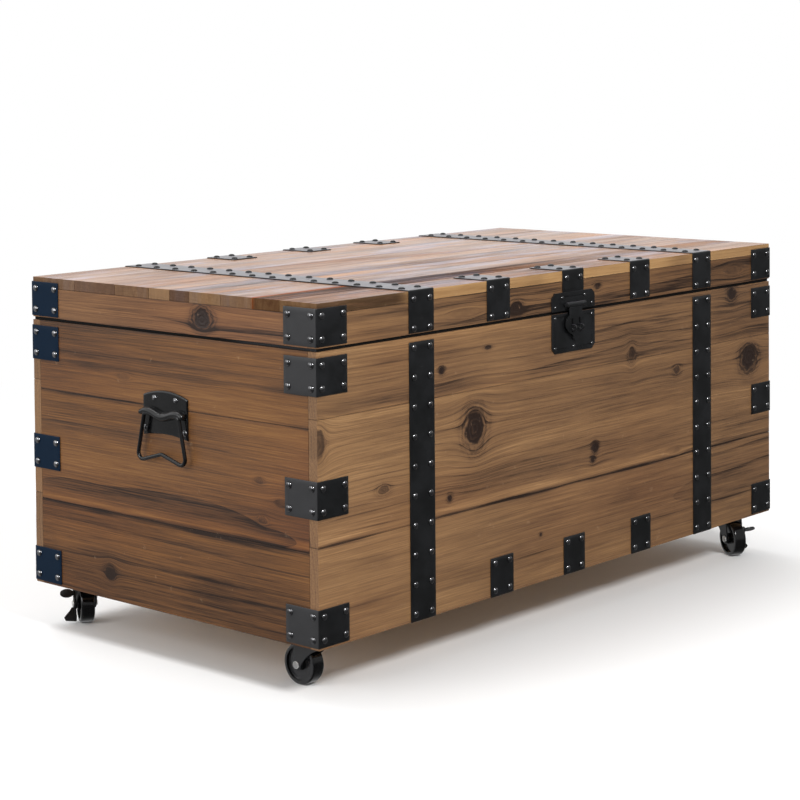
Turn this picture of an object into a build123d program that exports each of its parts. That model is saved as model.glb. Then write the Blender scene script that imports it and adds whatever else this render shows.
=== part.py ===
from build123d import *

import math
import os

# A flat-lidded storage chest of glued-up boards with steel straps, on four swivel casters.
# Millimetres. +Z is up, +X runs along the chest to the right, and the front faces -Y.
# The origin is on the floor, under the middle of the wooden box.

# ------------------------------------------------------------------ wooden box
LENGTH = 1000.0
DEPTH = 512.0
BODY_HEIGHT = 349.0
LID_GAP = 3.5
LID_HEIGHT = 53.0
CASTER_HEIGHT = 61.0
WALL = 14.0
BASE_THICKNESS = 12.0
BLOCK_HEIGHT = 27.0
BLOCK_SIZE = 70.0
BATTEN_WIDTH = 40.0
BASE_BATTEN_XS = (-240.0, 0.0, 240.0)
LID_BATTEN_XS = (-312.0, 312.0)
LID_BATTEN_THICKNESS = 12.0
FRONT_SEAMS = (120.0, 270.0)
END_SEAMS = (113.0, 258.0)
LID_BOARD_WIDTHS = (84.0, 78.0, 64.0, 38.0, 35.0, 55.0, 54.0, 44.0, 60.0)
SEAL_WIDTH = 10.0
SEAL_INSET = 2.0
SEAL_CLEARANCE = 0.1

# ------------------------------------------------------------------ straps, brackets and nails
STEEL = 1.2
STRAP_WIDTH = 47.0
STRAP_X = 312.8
TAB_XS = (-156.4, 0.0, 156.4)
FRONT_LID_TAB_XS = (-160.4, 0.0, 156.4)
LID_TAB_LENGTH = 54.5
BASE_TAB_HEIGHT = 50.0
STRAP_TOP = 343.0
LID_STRAP_FOOT = 1.5
BRACKET_LEG = 52.0
BRACKET_HEIGHT = 45.0
BRACKET_BEND = 1.0
BODY_BRACKET_HEIGHTS = (25.5, 175.5, 319.5)
LID_BRACKET_HEIGHT = 24.5
NAIL_COLUMN = 15.0
BODY_NAIL_ROWS = 10
BODY_NAIL_FIRST = 9.0
BODY_NAIL_LAST = 336.0
TAB_NAIL_ROWS = (8.0, 43.0)
LID_FACE_NAIL_ROWS = (7.0, 43.0)
LID_TOP_NAIL_ROWS = 14
LID_TOP_NAIL_LAST = 238.3
LID_TAB_NAILS = (10.5, 47.0)
BRACKET_NAIL_COLUMNS = (8.0, 45.0)
BRACKET_NAIL_ROW = 13.75
NAIL_HEAD_RADIUS = 4.5
NAIL_HEAD_HEIGHT = 2.6
NAIL_SHANK_RADIUS = 1.1
NAIL_DEPTH = 6.0
HOLE_CLEARANCE = 0.02
DRILL_LENGTH = 12.0

# ------------------------------------------------------------------ latch
LATCH_WIDTH = 96.0
LATCH_PLATE = 1.5
LATCH_TOP = 26.0
LATCH_BOTTOM = 54.0
LATCH_CORNER = 6.5
HASP_AXIS_UP = 9.5
HASP_AXIS_OUT = 4.9
HASP_THICKNESS = 1.6
HASP_BARREL = 3.2
HASP_BARREL_WIDTH = 42.0
HASP_KNUCKLE = 26.0
HASP_PIN_RADIUS = 1.25
RUNNING_CLEARANCE = 0.05
HASP_PIN_HEAD = 2.2
HASP_NECK_WIDTH = 28.0
HASP_LEAF = (22.0, 15.5)
HASP_LEAF_DROP = 25.5
HASP_TAPER = (17.0, 33.0)
HASP_TIP_DROP = 43.0
HASP_TIP_RADIUS = 5.5
EYE_X = 8.2
EYE_DROP = 31.0
EYE_OUT = 8.6
EYE_RADIUS = 4.2
EYE_HOLE = 2.6
EYE_THICKNESS = 3.0
SLOT_WIDTH = 3.8
SLOT_TOP = 18.5
SLOT_BOTTOM = 36.6
LATCH_RIVET_HEAD = 2.6
UPPER_RIVETS = ((-41.0, 7.0), (41.0, 7.0), (-25.0, 19.0), (25.0, 19.0))
LOWER_RIVETS = ((-41.0, -7.5), (41.0, -7.5), (-41.0, -47.5), (0.0, -47.5), (41.0, -47.5))

# ------------------------------------------------------------------ drop handles
HANDLE_UP = 250.0
HANDLE_WIDTH = 80.0
HANDLE_PLATE = 2.0
HANDLE_SIDE = (-29.0, 21.5)
HANDLE_ARCH = 7.5
HANDLE_HOLLOW = 4.0
WIRE_RADIUS = 2.5
BAIL_OUT = 8.5
BARREL_WALL = 1.6
BARREL_HALF = 26.0
STUB_FROM = 35.2
STUB_TO = 38.5
BAIL_TOP_HALF = 31.0
BAIL_FOOT_HALF = 45.0
BAIL_DROP = 62.0
BAIL_PEAK = 49.0
BAIL_BENDS = (4.5, 8.0, 7.0, 8.0, 4.5)
BAIL_JOIN = 1.0
HANDLE_RIVETS = ((-19.0, 18.5), (19.0, 18.5), (-35.5, -20.0), (35.5, -20.0))
HANDLE_RIVET_HEAD = 4.0
HANDLE_RIVET_HEIGHT = 2.2

# ------------------------------------------------------------------ hinges and lid stay
HINGE_XS = (-234.6, 234.6)
HINGE_WIDTH = 90.0
HINGE_KNUCKLES = 5
HINGE_LEAF = 1.5
HINGE_REACH = 30.0
HINGE_OUT = 3.4
HINGE_BARREL = 3.2
HINGE_PIN_RADIUS = 1.75
HINGE_PIN_HEAD = (2.45, 1.2)
HINGE_SCREW_XS = (-32.0, 0.0, 32.0)
SCREW_HEAD = 3.2
SCREW_HEAD_HEIGHT = 1.6
SCREW_SHANK = 1.5
SCREW_DEPTH = 9.0
STAY_ANCHOR = (-75.0, -130.0)
STAY_LID_PIVOT = (-200.0, 20.0)
STAY_BAR = 2.5
STAY_BAR_WIDTH = 16.0
STAY_PLATE = 2.0
STAY_PLATE_SIZE = (30.0, 32.0)
STAY_PIN = 3.0
STAY_HEAD = 5.0
STAY_HEAD_HEIGHT = 1.7
STAY_KNEE_FOOT = 1.2
STAY_GAP = 0.1
STAY_OPEN_CLEARANCE = 0.3

# ------------------------------------------------------------------ casters
CASTER_INSET = 47.5
WHEEL_RADIUS = 25.0
WHEEL_WIDTH = 18.6
WHEEL_ROUNDING = 2.5
WHEEL_RIM_INNER = 20.5
WHEEL_RECESS = 4.0
HUB_RADIUS = 8.0
HUB_WIDTH = 22.6
TRAIL = 22.0
AXLE_RADIUS = 3.0
AXLE_HEAD = 4.6
AXLE_HEAD_HEIGHT = 2.0
FORK_OUTER = 27.2
FORK_STEEL = 1.8
CROWN_TOP = 55.0
CROWN_THICKNESS = 2.4
CROWN_FRONT = -18.0
CROWN_BACK = 25.0
FORK_BOSS = 7.0
LEG_WAIST = (2.0, 40.0)
LEG_LIP = 3.0
STEM_RADIUS = 4.0
STEM_NECK = 4.8
STEM_HEAD = 6.5
STEM_HEAD_HEIGHT = 3.0
STEM_GAP = 0.3
STEM_TOP = 86.0
LEVER_STEEL = 2.0
LEVER_GAP = 0.2
LEVER_BOSS = 8.0
LEVER_ARM = 9.0
LEVER_UP = (6.0, 13.0)
LEVER_DOWN = (-8.5, -14.5)
PEDAL_HALF = (9.0, 7.0)
PEDAL_NECK = 7.0
PEDAL_TILT = 33.0
PEDAL_REACH = 10.5
FLARE = (
    (0.0, 5.0),
    (5.5, 5.0),
    (8.0, 9.0),
    (12.5, 13.5),
    (16.5, 18.0),
    (14.5, 22.5),
    (2.5, 24.0),
    (0.0, 24.0),
)
FLARE_ROUNDING = 1.5

HALF_LENGTH = LENGTH / 2
HALF_DEPTH = DEPTH / 2
BODY_BOTTOM = CASTER_HEIGHT
BODY_TOP = BODY_BOTTOM + BODY_HEIGHT
LID_BOTTOM = BODY_TOP + LID_GAP
LID_TOP = LID_BOTTOM + LID_HEIGHT
GAP_MIDDLE = BODY_TOP + LID_GAP / 2
BASE_BOTTOM = BODY_BOTTOM + BLOCK_HEIGHT
INNER_X = HALF_LENGTH - WALL
INNER_Y = HALF_DEPTH - WALL
RAIL_TOP = LID_TOP - WALL
STRAP_XS = (-STRAP_X, STRAP_X)
HINGE_AXIS = (HALF_DEPTH + HINGE_OUT, GAP_MIDDLE)

# One plane per outside face: local x runs across the face, local y up it, local z out of it.
FACES = {
    "front": Plane(origin=(0, -HALF_DEPTH, 0), x_dir=(1, 0, 0), z_dir=(0, -1, 0)),
    "back": Plane(origin=(0, HALF_DEPTH, 0), x_dir=(-1, 0, 0), z_dir=(0, 1, 0)),
    "left": Plane(origin=(-HALF_LENGTH, 0, 0), x_dir=(0, -1, 0), z_dir=(-1, 0, 0)),
    "right": Plane(origin=(HALF_LENGTH, 0, 0), x_dir=(0, 1, 0), z_dir=(1, 0, 0)),
    "top": Plane(origin=(0, 0, LID_TOP), x_dir=(1, 0, 0), z_dir=(0, 0, 1)),
}


# ------------------------------------------------------------------ helpers
def block(low, high):
    """A box between two corners."""
    size = [b - a for a, b in zip(low, high)]
    middle = [(a + b) / 2 for a, b in zip(low, high)]
    return Pos(*middle) * Box(*size)


def rod(radius, start, end):
    """A cylinder along local z from start to end."""
    return Pos(0, 0, (start + end) / 2) * Cylinder(radius, end - start)


def rod_x(radius, start, end, y=0.0, z=0.0):
    """A cylinder along X from start to end."""
    return Pos((start + end) / 2, y, z) * Rot(0, 90, 0) * Cylinder(radius, end - start)


def rod_y(radius, start, end, x=0.0, z=0.0):
    """A cylinder along Y from start to end."""
    return Pos(x, (start + end) / 2, z) * Rot(90, 0, 0) * Cylinder(radius, end - start)


def dome_pin(head_radius, head_height, shank_radius, shank_length):
    """A fastener with a domed head on z = 0 and its shank below."""
    outline = Polyline(
        (0, head_height),
        (0, -shank_length),
        (shank_radius, -shank_length),
        (shank_radius, 0),
        (head_radius, 0),
    )
    sphere_radius = (head_radius**2 + head_height**2) / (2 * head_height)
    half_way = math.asin(head_radius / sphere_radius) / 2
    drop = sphere_radius * (1 - math.cos(half_way))
    middle = (sphere_radius * math.sin(half_way), head_height - drop)
    dome = ThreePointArc((head_radius, 0), middle, (0, head_height))
    face = make_face(outline + dome)
    return revolve(Plane.XZ * face, Axis.Z)


def spots(face, xs, ys):
    """Fastener places on one face, as (face, across, up)."""
    return [(face, x, y) for x in xs for y in ys]


def fasten(fastener, places, stand_off):
    """Copies of a fastener standing on the steel at each place."""
    return [FACES[face] * Pos(x, y, stand_off) * fastener for face, x, y in places]


def drilled(plate, places, radius):
    """A plate with a clearance hole for each fastener that lands on it."""
    drill = Cylinder(radius, DRILL_LENGTH)
    for face, x, y in places:
        plate -= FACES[face] * Pos(x, y, 0) * drill
    return plate


def evenly(first, last, count):
    """Evenly spaced values from first to last."""
    return [first + (last - first) * i / (count - 1) for i in range(count)]


def write(name, *pieces):
    """Write one node, as its separate solids."""
    solids = [solid for piece in pieces for solid in piece.solids()]
    shape = solids[0] if len(solids) == 1 else Compound(solids)
    shape.label = name
    export_step(shape, f"parts/{name}.step")


# ------------------------------------------------------------------ woodwork
def wall_boards(low, high, seams):
    """The boards of one wall, edge-glued one above another."""
    levels = [BODY_BOTTOM] + [BODY_BOTTOM + seam for seam in seams] + [BODY_TOP]
    return [block((*low, z0), (*high, z1)) for z0, z1 in zip(levels, levels[1:])]


def body_wood():
    """Walls, base, corner blocks and the battens under the base."""
    write("front_panel", *wall_boards((-HALF_LENGTH, -HALF_DEPTH), (HALF_LENGTH, -INNER_Y), FRONT_SEAMS))
    write("back_panel", *wall_boards((-HALF_LENGTH, INNER_Y), (HALF_LENGTH, HALF_DEPTH), FRONT_SEAMS))
    write("left_end_panel", *wall_boards((-HALF_LENGTH, -INNER_Y), (-INNER_X, INNER_Y), END_SEAMS))
    write("right_end_panel", *wall_boards((INNER_X, -INNER_Y), (HALF_LENGTH, INNER_Y), END_SEAMS))
    base_top = BASE_BOTTOM + BASE_THICKNESS
    write("base_panel", block((-INNER_X, -INNER_Y, BASE_BOTTOM), (INNER_X, INNER_Y, base_top)))
    half = BATTEN_WIDTH / 2
    battens = [
        block((x - half, -INNER_Y, BODY_BOTTOM), (x + half, INNER_Y, BASE_BOTTOM)) for x in BASE_BATTEN_XS
    ]
    write("base_battens", *battens)
    stem_hole = rod(STEM_RADIUS + RUNNING_CLEARANCE, BODY_BOTTOM - 1, BASE_BOTTOM - 1)
    blocks = []
    for x_side in (-1, 1):
        for y_side in (-1, 1):
            outer = (x_side * INNER_X, y_side * INNER_Y)
            inner = (x_side * (INNER_X - BLOCK_SIZE), y_side * (INNER_Y - BLOCK_SIZE))
            low = (min(outer[0], inner[0]), min(outer[1], inner[1]), BODY_BOTTOM)
            high = (max(outer[0], inner[0]), max(outer[1], inner[1]), BASE_BOTTOM)
            swivel = (x_side * (HALF_LENGTH - CASTER_INSET), y_side * (HALF_DEPTH - CASTER_INSET))
            blocks.append(block(low, high) - Pos(*swivel, 0) * stem_hole)
    write("corner_blocks", *blocks)


def lid_wood():
    """Top boards, the apron rails, the battens under the boards and the rubber seal."""
    y = HALF_DEPTH
    boards = []
    for width in LID_BOARD_WIDTHS:
        boards.append(block((-HALF_LENGTH, y - width, RAIL_TOP), (HALF_LENGTH, y, LID_TOP)))
        y -= width
    write("lid_top_boards", *boards)
    write("lid_front_rail", block((-HALF_LENGTH, -HALF_DEPTH, LID_BOTTOM), (HALF_LENGTH, -INNER_Y, RAIL_TOP)))
    write("lid_back_rail", block((-HALF_LENGTH, INNER_Y, LID_BOTTOM), (HALF_LENGTH, HALF_DEPTH, RAIL_TOP)))
    write("lid_left_rail", block((-HALF_LENGTH, -INNER_Y, LID_BOTTOM), (-INNER_X, INNER_Y, RAIL_TOP)))
    write("lid_right_rail", block((INNER_X, -INNER_Y, LID_BOTTOM), (HALF_LENGTH, INNER_Y, RAIL_TOP)))
    half = BATTEN_WIDTH / 2
    low_z = RAIL_TOP - LID_BATTEN_THICKNESS
    battens = [block((x - half, -INNER_Y, low_z), (x + half, INNER_Y, RAIL_TOP)) for x in LID_BATTEN_XS]
    write("lid_battens", *battens)
    outer = (HALF_LENGTH - SEAL_INSET, HALF_DEPTH - SEAL_INSET)
    inner = (outer[0] - SEAL_WIDTH, outer[1] - SEAL_WIDTH)
    low_z = BODY_TOP + SEAL_CLEARANCE
    ring = block((-outer[0], -outer[1], low_z), (outer[0], outer[1], LID_BOTTOM))
    ring -= block((-inner[0], -inner[1], low_z), (inner[0], inner[1], LID_BOTTOM))
    write("lid_seal", ring)


# ------------------------------------------------------------------ straps, brackets and nails
def nail_columns(centre):
    return (centre - NAIL_COLUMN, centre + NAIL_COLUMN)


def bracket_nails(centre_height):
    """Nails of the four brackets at one height, on all four faces."""
    rows = (centre_height - BRACKET_NAIL_ROW, centre_height + BRACKET_NAIL_ROW)
    half_widths = {"front": HALF_LENGTH, "back": HALF_LENGTH, "left": HALF_DEPTH, "right": HALF_DEPTH}
    places = []
    for face, half in half_widths.items():
        for side in (-1, 1):
            columns = [side * (half - inset) for inset in BRACKET_NAIL_COLUMNS]
            places += spots(face, columns, rows)
    return places


def corner_brackets(centre_height, places):
    """Four L-shaped brackets, one round each upright corner."""
    low = centre_height - BRACKET_HEIGHT / 2
    high = centre_height + BRACKET_HEIGHT / 2
    outer = block((-STEEL, -STEEL, low), (BRACKET_LEG, BRACKET_LEG, high))
    inner = block((0, 0, low), (BRACKET_LEG, BRACKET_LEG, high))
    angle = outer - inner
    bend = angle.edges().filter_by(Axis.Z).sort_by_distance((-STEEL, -STEEL, centre_height))[0]
    angle = fillet(bend, BRACKET_BEND)
    brackets = []
    corners = ((-1, -1, 0), (1, -1, 90), (1, 1, 180), (-1, 1, 270))
    for x_side, y_side, turn in corners:
        placed = Pos(x_side * HALF_LENGTH, y_side * HALF_DEPTH, 0) * Rot(0, 0, turn) * angle
        mine = [spot for spot in places if on_corner(spot, x_side, y_side)]
        brackets.append(drilled(placed, mine, NAIL_SHANK_RADIUS + HOLE_CLEARANCE))
    return brackets


def on_corner(spot, x_side, y_side):
    """Whether a nail place belongs to the bracket at one corner."""
    face, across, up = spot
    point = FACES[face].from_local_coords((across, up, 0))
    return point.X * x_side > HALF_LENGTH - BRACKET_LEG and point.Y * y_side > HALF_DEPTH - BRACKET_LEG


def body_steel():
    """Straps, short straps and brackets of the body, with their nails."""
    half = STRAP_WIDTH / 2
    nails = []
    tabs = []
    rows = evenly(BODY_BOTTOM + BODY_NAIL_FIRST, BODY_BOTTOM + BODY_NAIL_LAST, BODY_NAIL_ROWS)
    tab_rows = [BODY_BOTTOM + row for row in TAB_NAIL_ROWS]
    for face in ("front", "back"):
        straps = []
        for x in STRAP_XS:
            places = spots(face, nail_columns(x), rows)
            strap = block((x - half, BODY_BOTTOM, 0), (x + half, BODY_BOTTOM + STRAP_TOP, STEEL))
            straps.append(drilled(FACES[face] * strap, places, NAIL_SHANK_RADIUS + HOLE_CLEARANCE))
            nails += places
        write(f"{face}_straps", *straps)
        for x in TAB_XS:
            places = spots(face, nail_columns(x), tab_rows)
            tab = block((x - half, BODY_BOTTOM, 0), (x + half, BODY_BOTTOM + BASE_TAB_HEIGHT, STEEL))
            tabs.append(drilled(FACES[face] * tab, places, NAIL_SHANK_RADIUS + HOLE_CLEARANCE))
            nails += places
    write("base_tabs", *tabs)
    brackets = []
    for height in BODY_BRACKET_HEIGHTS:
        places = bracket_nails(BODY_BOTTOM + height)
        brackets += corner_brackets(BODY_BOTTOM + height, places)
        nails += places
    write("body_corner_brackets", *brackets)
    nail = dome_pin(NAIL_HEAD_RADIUS, NAIL_HEAD_HEIGHT, NAIL_SHANK_RADIUS, STEEL + NAIL_DEPTH)
    write("body_nails", *fasten(nail, nails, STEEL))


def lid_hoop(x, top_from, front_foot, back_foot):
    """A strap over the lid from the front edge, or a short one over one edge only."""
    half = STRAP_WIDTH / 2
    outside = HALF_DEPTH + STEEL
    front_y = -outside if front_foot else top_from
    back_y = outside if back_foot else top_from
    hoop = block((x - half, front_y, LID_TOP), (x + half, back_y, LID_TOP + STEEL))
    if front_foot:
        hoop += block((x - half, -outside, front_foot), (x + half, -HALF_DEPTH, LID_TOP))
    if back_foot:
        hoop += block((x - half, HALF_DEPTH, back_foot), (x + half, outside, LID_TOP))
    return hoop


def lid_steel():
    """Long straps, short straps and brackets of the lid, with their nails."""
    hole = NAIL_SHANK_RADIUS + HOLE_CLEARANCE
    foot = LID_BOTTOM + LID_STRAP_FOOT
    face_rows = [LID_BOTTOM + row for row in LID_FACE_NAIL_ROWS]
    top_rows = evenly(-LID_TOP_NAIL_LAST, LID_TOP_NAIL_LAST, LID_TOP_NAIL_ROWS)
    nails = []
    straps = []
    for x in STRAP_XS:
        places = spots("top", nail_columns(x), top_rows)
        places += spots("front", nail_columns(x), face_rows)
        places += spots("back", nail_columns(-x), face_rows)
        straps.append(drilled(lid_hoop(x, 0, foot, foot), places, hole))
        nails += places
    write("lid_straps", *straps)
    tabs = []
    for side, face, xs in ((-1, "front", FRONT_LID_TAB_XS), (1, "back", TAB_XS)):
        for x in xs:
            under_latch = face == "front" and x == 0
            tab_foot = GAP_MIDDLE + LATCH_TOP if under_latch else foot
            places = spots("top", nail_columns(x), [side * (HALF_DEPTH - inset) for inset in LID_TAB_NAILS])
            places += spots(face, nail_columns(-side * x), face_rows[1:] if under_latch else face_rows)
            end = side * (HALF_DEPTH - LID_TAB_LENGTH)
            tab = lid_hoop(x, end, tab_foot, None) if side < 0 else lid_hoop(x, end, None, tab_foot)
            tabs.append(drilled(tab, places, hole))
            nails += places
    write("lid_tabs", *tabs)
    places = bracket_nails(LID_BOTTOM + LID_BRACKET_HEIGHT)
    write("lid_corner_brackets", *corner_brackets(LID_BOTTOM + LID_BRACKET_HEIGHT, places))
    nails += places
    nail = dome_pin(NAIL_HEAD_RADIUS, NAIL_HEAD_HEIGHT, NAIL_SHANK_RADIUS, STEEL + NAIL_DEPTH)
    write("lid_nails", *fasten(nail, nails, STEEL))


# ------------------------------------------------------------------ latch
def latch_frame():
    """On the front face, at the middle of the gap under the lid."""
    return FACES["front"] * Pos(0, GAP_MIDDLE, 0)


def latch_plate(low, high, clipped, places):
    """Half of the latch plate, with its two outer corners clipped."""
    outline = Pos(0, (low + high) / 2) * Rectangle(LATCH_WIDTH, high - low)
    corners = outline.vertices().sort_by(Axis.Y)
    corners = corners[:2] if clipped == "bottom" else corners[-2:]
    outline = chamfer(corners, LATCH_CORNER)
    plate = latch_frame() * extrude(outline, LATCH_PLATE)
    return drilled(plate, places, NAIL_SHANK_RADIUS + HOLE_CLEARANCE)


def latch():
    """Two plates, the hinged hasp with its pin, and two eyes for a padlock."""
    upper = [("front", x, GAP_MIDDLE + y) for x, y in UPPER_RIVETS]
    lower = [("front", x, GAP_MIDDLE + y) for x, y in LOWER_RIVETS]
    half_gap = LID_GAP / 2
    axis = latch_frame() * Pos(0, HASP_AXIS_UP, HASP_AXIS_OUT)
    bore = rod_x(HASP_PIN_RADIUS + RUNNING_CLEARANCE, -HASP_BARREL_WIDTH, HASP_BARREL_WIDTH)
    barrel_half = HASP_BARREL_WIDTH / 2
    knuckle_half = HASP_KNUCKLE / 2

    plate = latch_plate(half_gap, LATCH_TOP, "top", upper)
    for side in (-1, 1):
        inner = side * (knuckle_half + RUNNING_CLEARANCE)
        outer = side * barrel_half
        low_x, high_x = min(inner, outer), max(inner, outer)
        plate += axis * rod_x(HASP_BARREL, low_x, high_x)
        web_back = LATCH_PLATE - HASP_AXIS_OUT
        plate += axis * block((low_x, -HASP_PIN_RADIUS, web_back), (high_x, HASP_PIN_RADIUS, 0))
    write("latch_upper_plate", plate - axis * bore)
    write("latch_lower_plate", latch_plate(-LATCH_BOTTOM, -half_gap, "bottom", lower))

    pin = rod_x(HASP_PIN_RADIUS, -barrel_half, barrel_half)
    for side in (-1, 1):
        ends = sorted((side * barrel_half, side * (barrel_half + HASP_PIN_RADIUS)))
        pin += rod_x(HASP_PIN_HEAD, *ends)
    write("latch_hinge_pin", axis * pin)

    leaf = Pos(0, -HASP_LEAF_DROP) * Ellipse(*HASP_LEAF)
    neck_top = -HASP_BARREL - 2 * RUNNING_CLEARANCE
    leaf += Pos(0, (neck_top - HASP_LEAF_DROP) / 2) * Rectangle(HASP_NECK_WIDTH, HASP_LEAF_DROP + neck_top)
    tip = -HASP_TIP_DROP
    taper, taper_drop = HASP_TAPER
    corners = ((-taper, -taper_drop), (taper, -taper_drop), (HASP_TIP_RADIUS, tip), (-HASP_TIP_RADIUS, tip))
    leaf += make_face(Polyline(*corners, close=True))
    leaf += Pos(0, tip) * Circle(HASP_TIP_RADIUS)
    slot_length = SLOT_BOTTOM - SLOT_TOP
    slot = Pos(0, -(SLOT_TOP + SLOT_BOTTOM) / 2) * Rectangle(SLOT_WIDTH, slot_length)
    leaf -= Pos(-EYE_X, 0) * slot
    leaf -= Pos(EYE_X, 0) * slot
    tongue = Pos(0, 0, -HASP_THICKNESS / 2) * extrude(leaf, HASP_THICKNESS)
    half_steel = HASP_THICKNESS / 2
    tongue += block((-knuckle_half, neck_top - 1, -half_steel), (knuckle_half, 0, half_steel))
    tongue += rod_x(HASP_BARREL, -knuckle_half, knuckle_half)
    write("latch_hasp", axis * (tongue - bore))

    eye = rod_x(EYE_RADIUS, -EYE_THICKNESS / 2, EYE_THICKNESS / 2)
    half_eye = EYE_THICKNESS / 2
    eye += block((-half_eye, -EYE_RADIUS, LATCH_PLATE - EYE_OUT), (half_eye, EYE_RADIUS, 0))
    eye -= rod_x(EYE_HOLE, -EYE_THICKNESS, EYE_THICKNESS)
    middle = axis * Pos(0, -EYE_DROP, EYE_OUT - HASP_AXIS_OUT)
    write("latch_eyes", middle * Pos(-EYE_X, 0, 0) * eye, middle * Pos(EYE_X, 0, 0) * eye)

    rivet = dome_pin(LATCH_RIVET_HEAD, NAIL_HEAD_HEIGHT / 2, NAIL_SHANK_RADIUS, LATCH_PLATE + NAIL_DEPTH)
    write("latch_lid_rivets", *fasten(rivet, upper, LATCH_PLATE))
    write("latch_body_rivets", *fasten(rivet, lower, LATCH_PLATE))


# ------------------------------------------------------------------ drop handles
def handles():
    """Each end's plate with its rolled barrel, the wire bail in it, and the rivets."""
    half = HANDLE_WIDTH / 2
    low, high = HANDLE_SIDE
    outline = [
        Line((-half, low), (-half, high)),
        ThreePointArc((-half, high), (0, high + HANDLE_ARCH), (half, high)),
        Line((half, high), (half, low)),
        ThreePointArc((half, low), (0, low + HANDLE_HOLLOW), (-half, low)),
    ]
    sheet = extrude(make_face(outline), HANDLE_PLATE)
    barrel_radius = WIRE_RADIUS + RUNNING_CLEARANCE + BARREL_WALL
    spans = ((-STUB_TO, -STUB_FROM), (-BARREL_HALF, BARREL_HALF), (STUB_FROM, STUB_TO))
    for start, end in spans:
        sheet += rod_x(barrel_radius, start, end, z=BAIL_OUT)
        sheet += block((start, -BARREL_WALL, HANDLE_PLATE), (end, BARREL_WALL, BAIL_OUT))
    sheet -= rod_x(WIRE_RADIUS + RUNNING_CLEARANCE, -half, half, z=BAIL_OUT)

    corners = (
        (BAIL_JOIN, 0),
        (BAIL_TOP_HALF, 0),
        (BAIL_FOOT_HALF, -BAIL_DROP),
        (0, -BAIL_PEAK),
        (-BAIL_FOOT_HALF, -BAIL_DROP),
        (-BAIL_TOP_HALF, 0),
        (-BAIL_JOIN, 0),
    )
    path = FilletPolyline(*corners, radius=BAIL_BENDS)
    section = Plane(origin=(BAIL_JOIN, 0, 0), z_dir=(1, 0, 0)) * Circle(WIRE_RADIUS)
    wire = Pos(0, 0, BAIL_OUT) * sweep(section, path)
    rivet = dome_pin(HANDLE_RIVET_HEAD, HANDLE_RIVET_HEIGHT, NAIL_SHANK_RADIUS, HANDLE_PLATE + NAIL_DEPTH)
    rivets = []
    for face in ("left", "right"):
        frame = FACES[face] * Pos(0, BODY_BOTTOM + HANDLE_UP, 0)
        places = [(face, x, BODY_BOTTOM + HANDLE_UP + y) for x, y in HANDLE_RIVETS]
        plate = drilled(frame * sheet, places, NAIL_SHANK_RADIUS + HOLE_CLEARANCE)
        write(f"{face}_handle_plate", plate)
        write(f"{face}_handle_bail", frame * wire)
        rivets += fasten(rivet, places, HANDLE_PLATE)
    write("handle_rivets", *rivets)


# ------------------------------------------------------------------ hinges and lid stay
def hinge_leaf(direction, taken):
    """One hinge leaf about the pin axis at the origin, reaching up or down in local y."""
    half = HINGE_WIDTH / 2
    pitch = HINGE_WIDTH / HINGE_KNUCKLES
    near = HINGE_BARREL + 4 * RUNNING_CLEARANCE
    plate_z = (-HINGE_OUT, HINGE_LEAF - HINGE_OUT)
    edge_y = sorted((direction * near, direction * HINGE_REACH))
    leaf = block((-half, edge_y[0], plate_z[0]), (half, edge_y[1], plate_z[1]))
    for index in taken:
        start = -half + index * pitch + RUNNING_CLEARANCE
        end = start + pitch - 2 * RUNNING_CLEARANCE
        root_y = sorted((0, direction * near))
        leaf += block((start, root_y[0], plate_z[0]), (end, root_y[1], plate_z[1]))
        leaf += rod_x(HINGE_BARREL, start, end)
    return leaf - rod_x(HINGE_PIN_RADIUS + RUNNING_CLEARANCE, -half, half)


def hinge_screw_places(direction):
    """Screw places of one leaf, on the back face."""
    rise = direction * HINGE_REACH * 0.6
    return [("back", -x + shift, GAP_MIDDLE + rise) for x in HINGE_XS for shift in HINGE_SCREW_XS]


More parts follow.
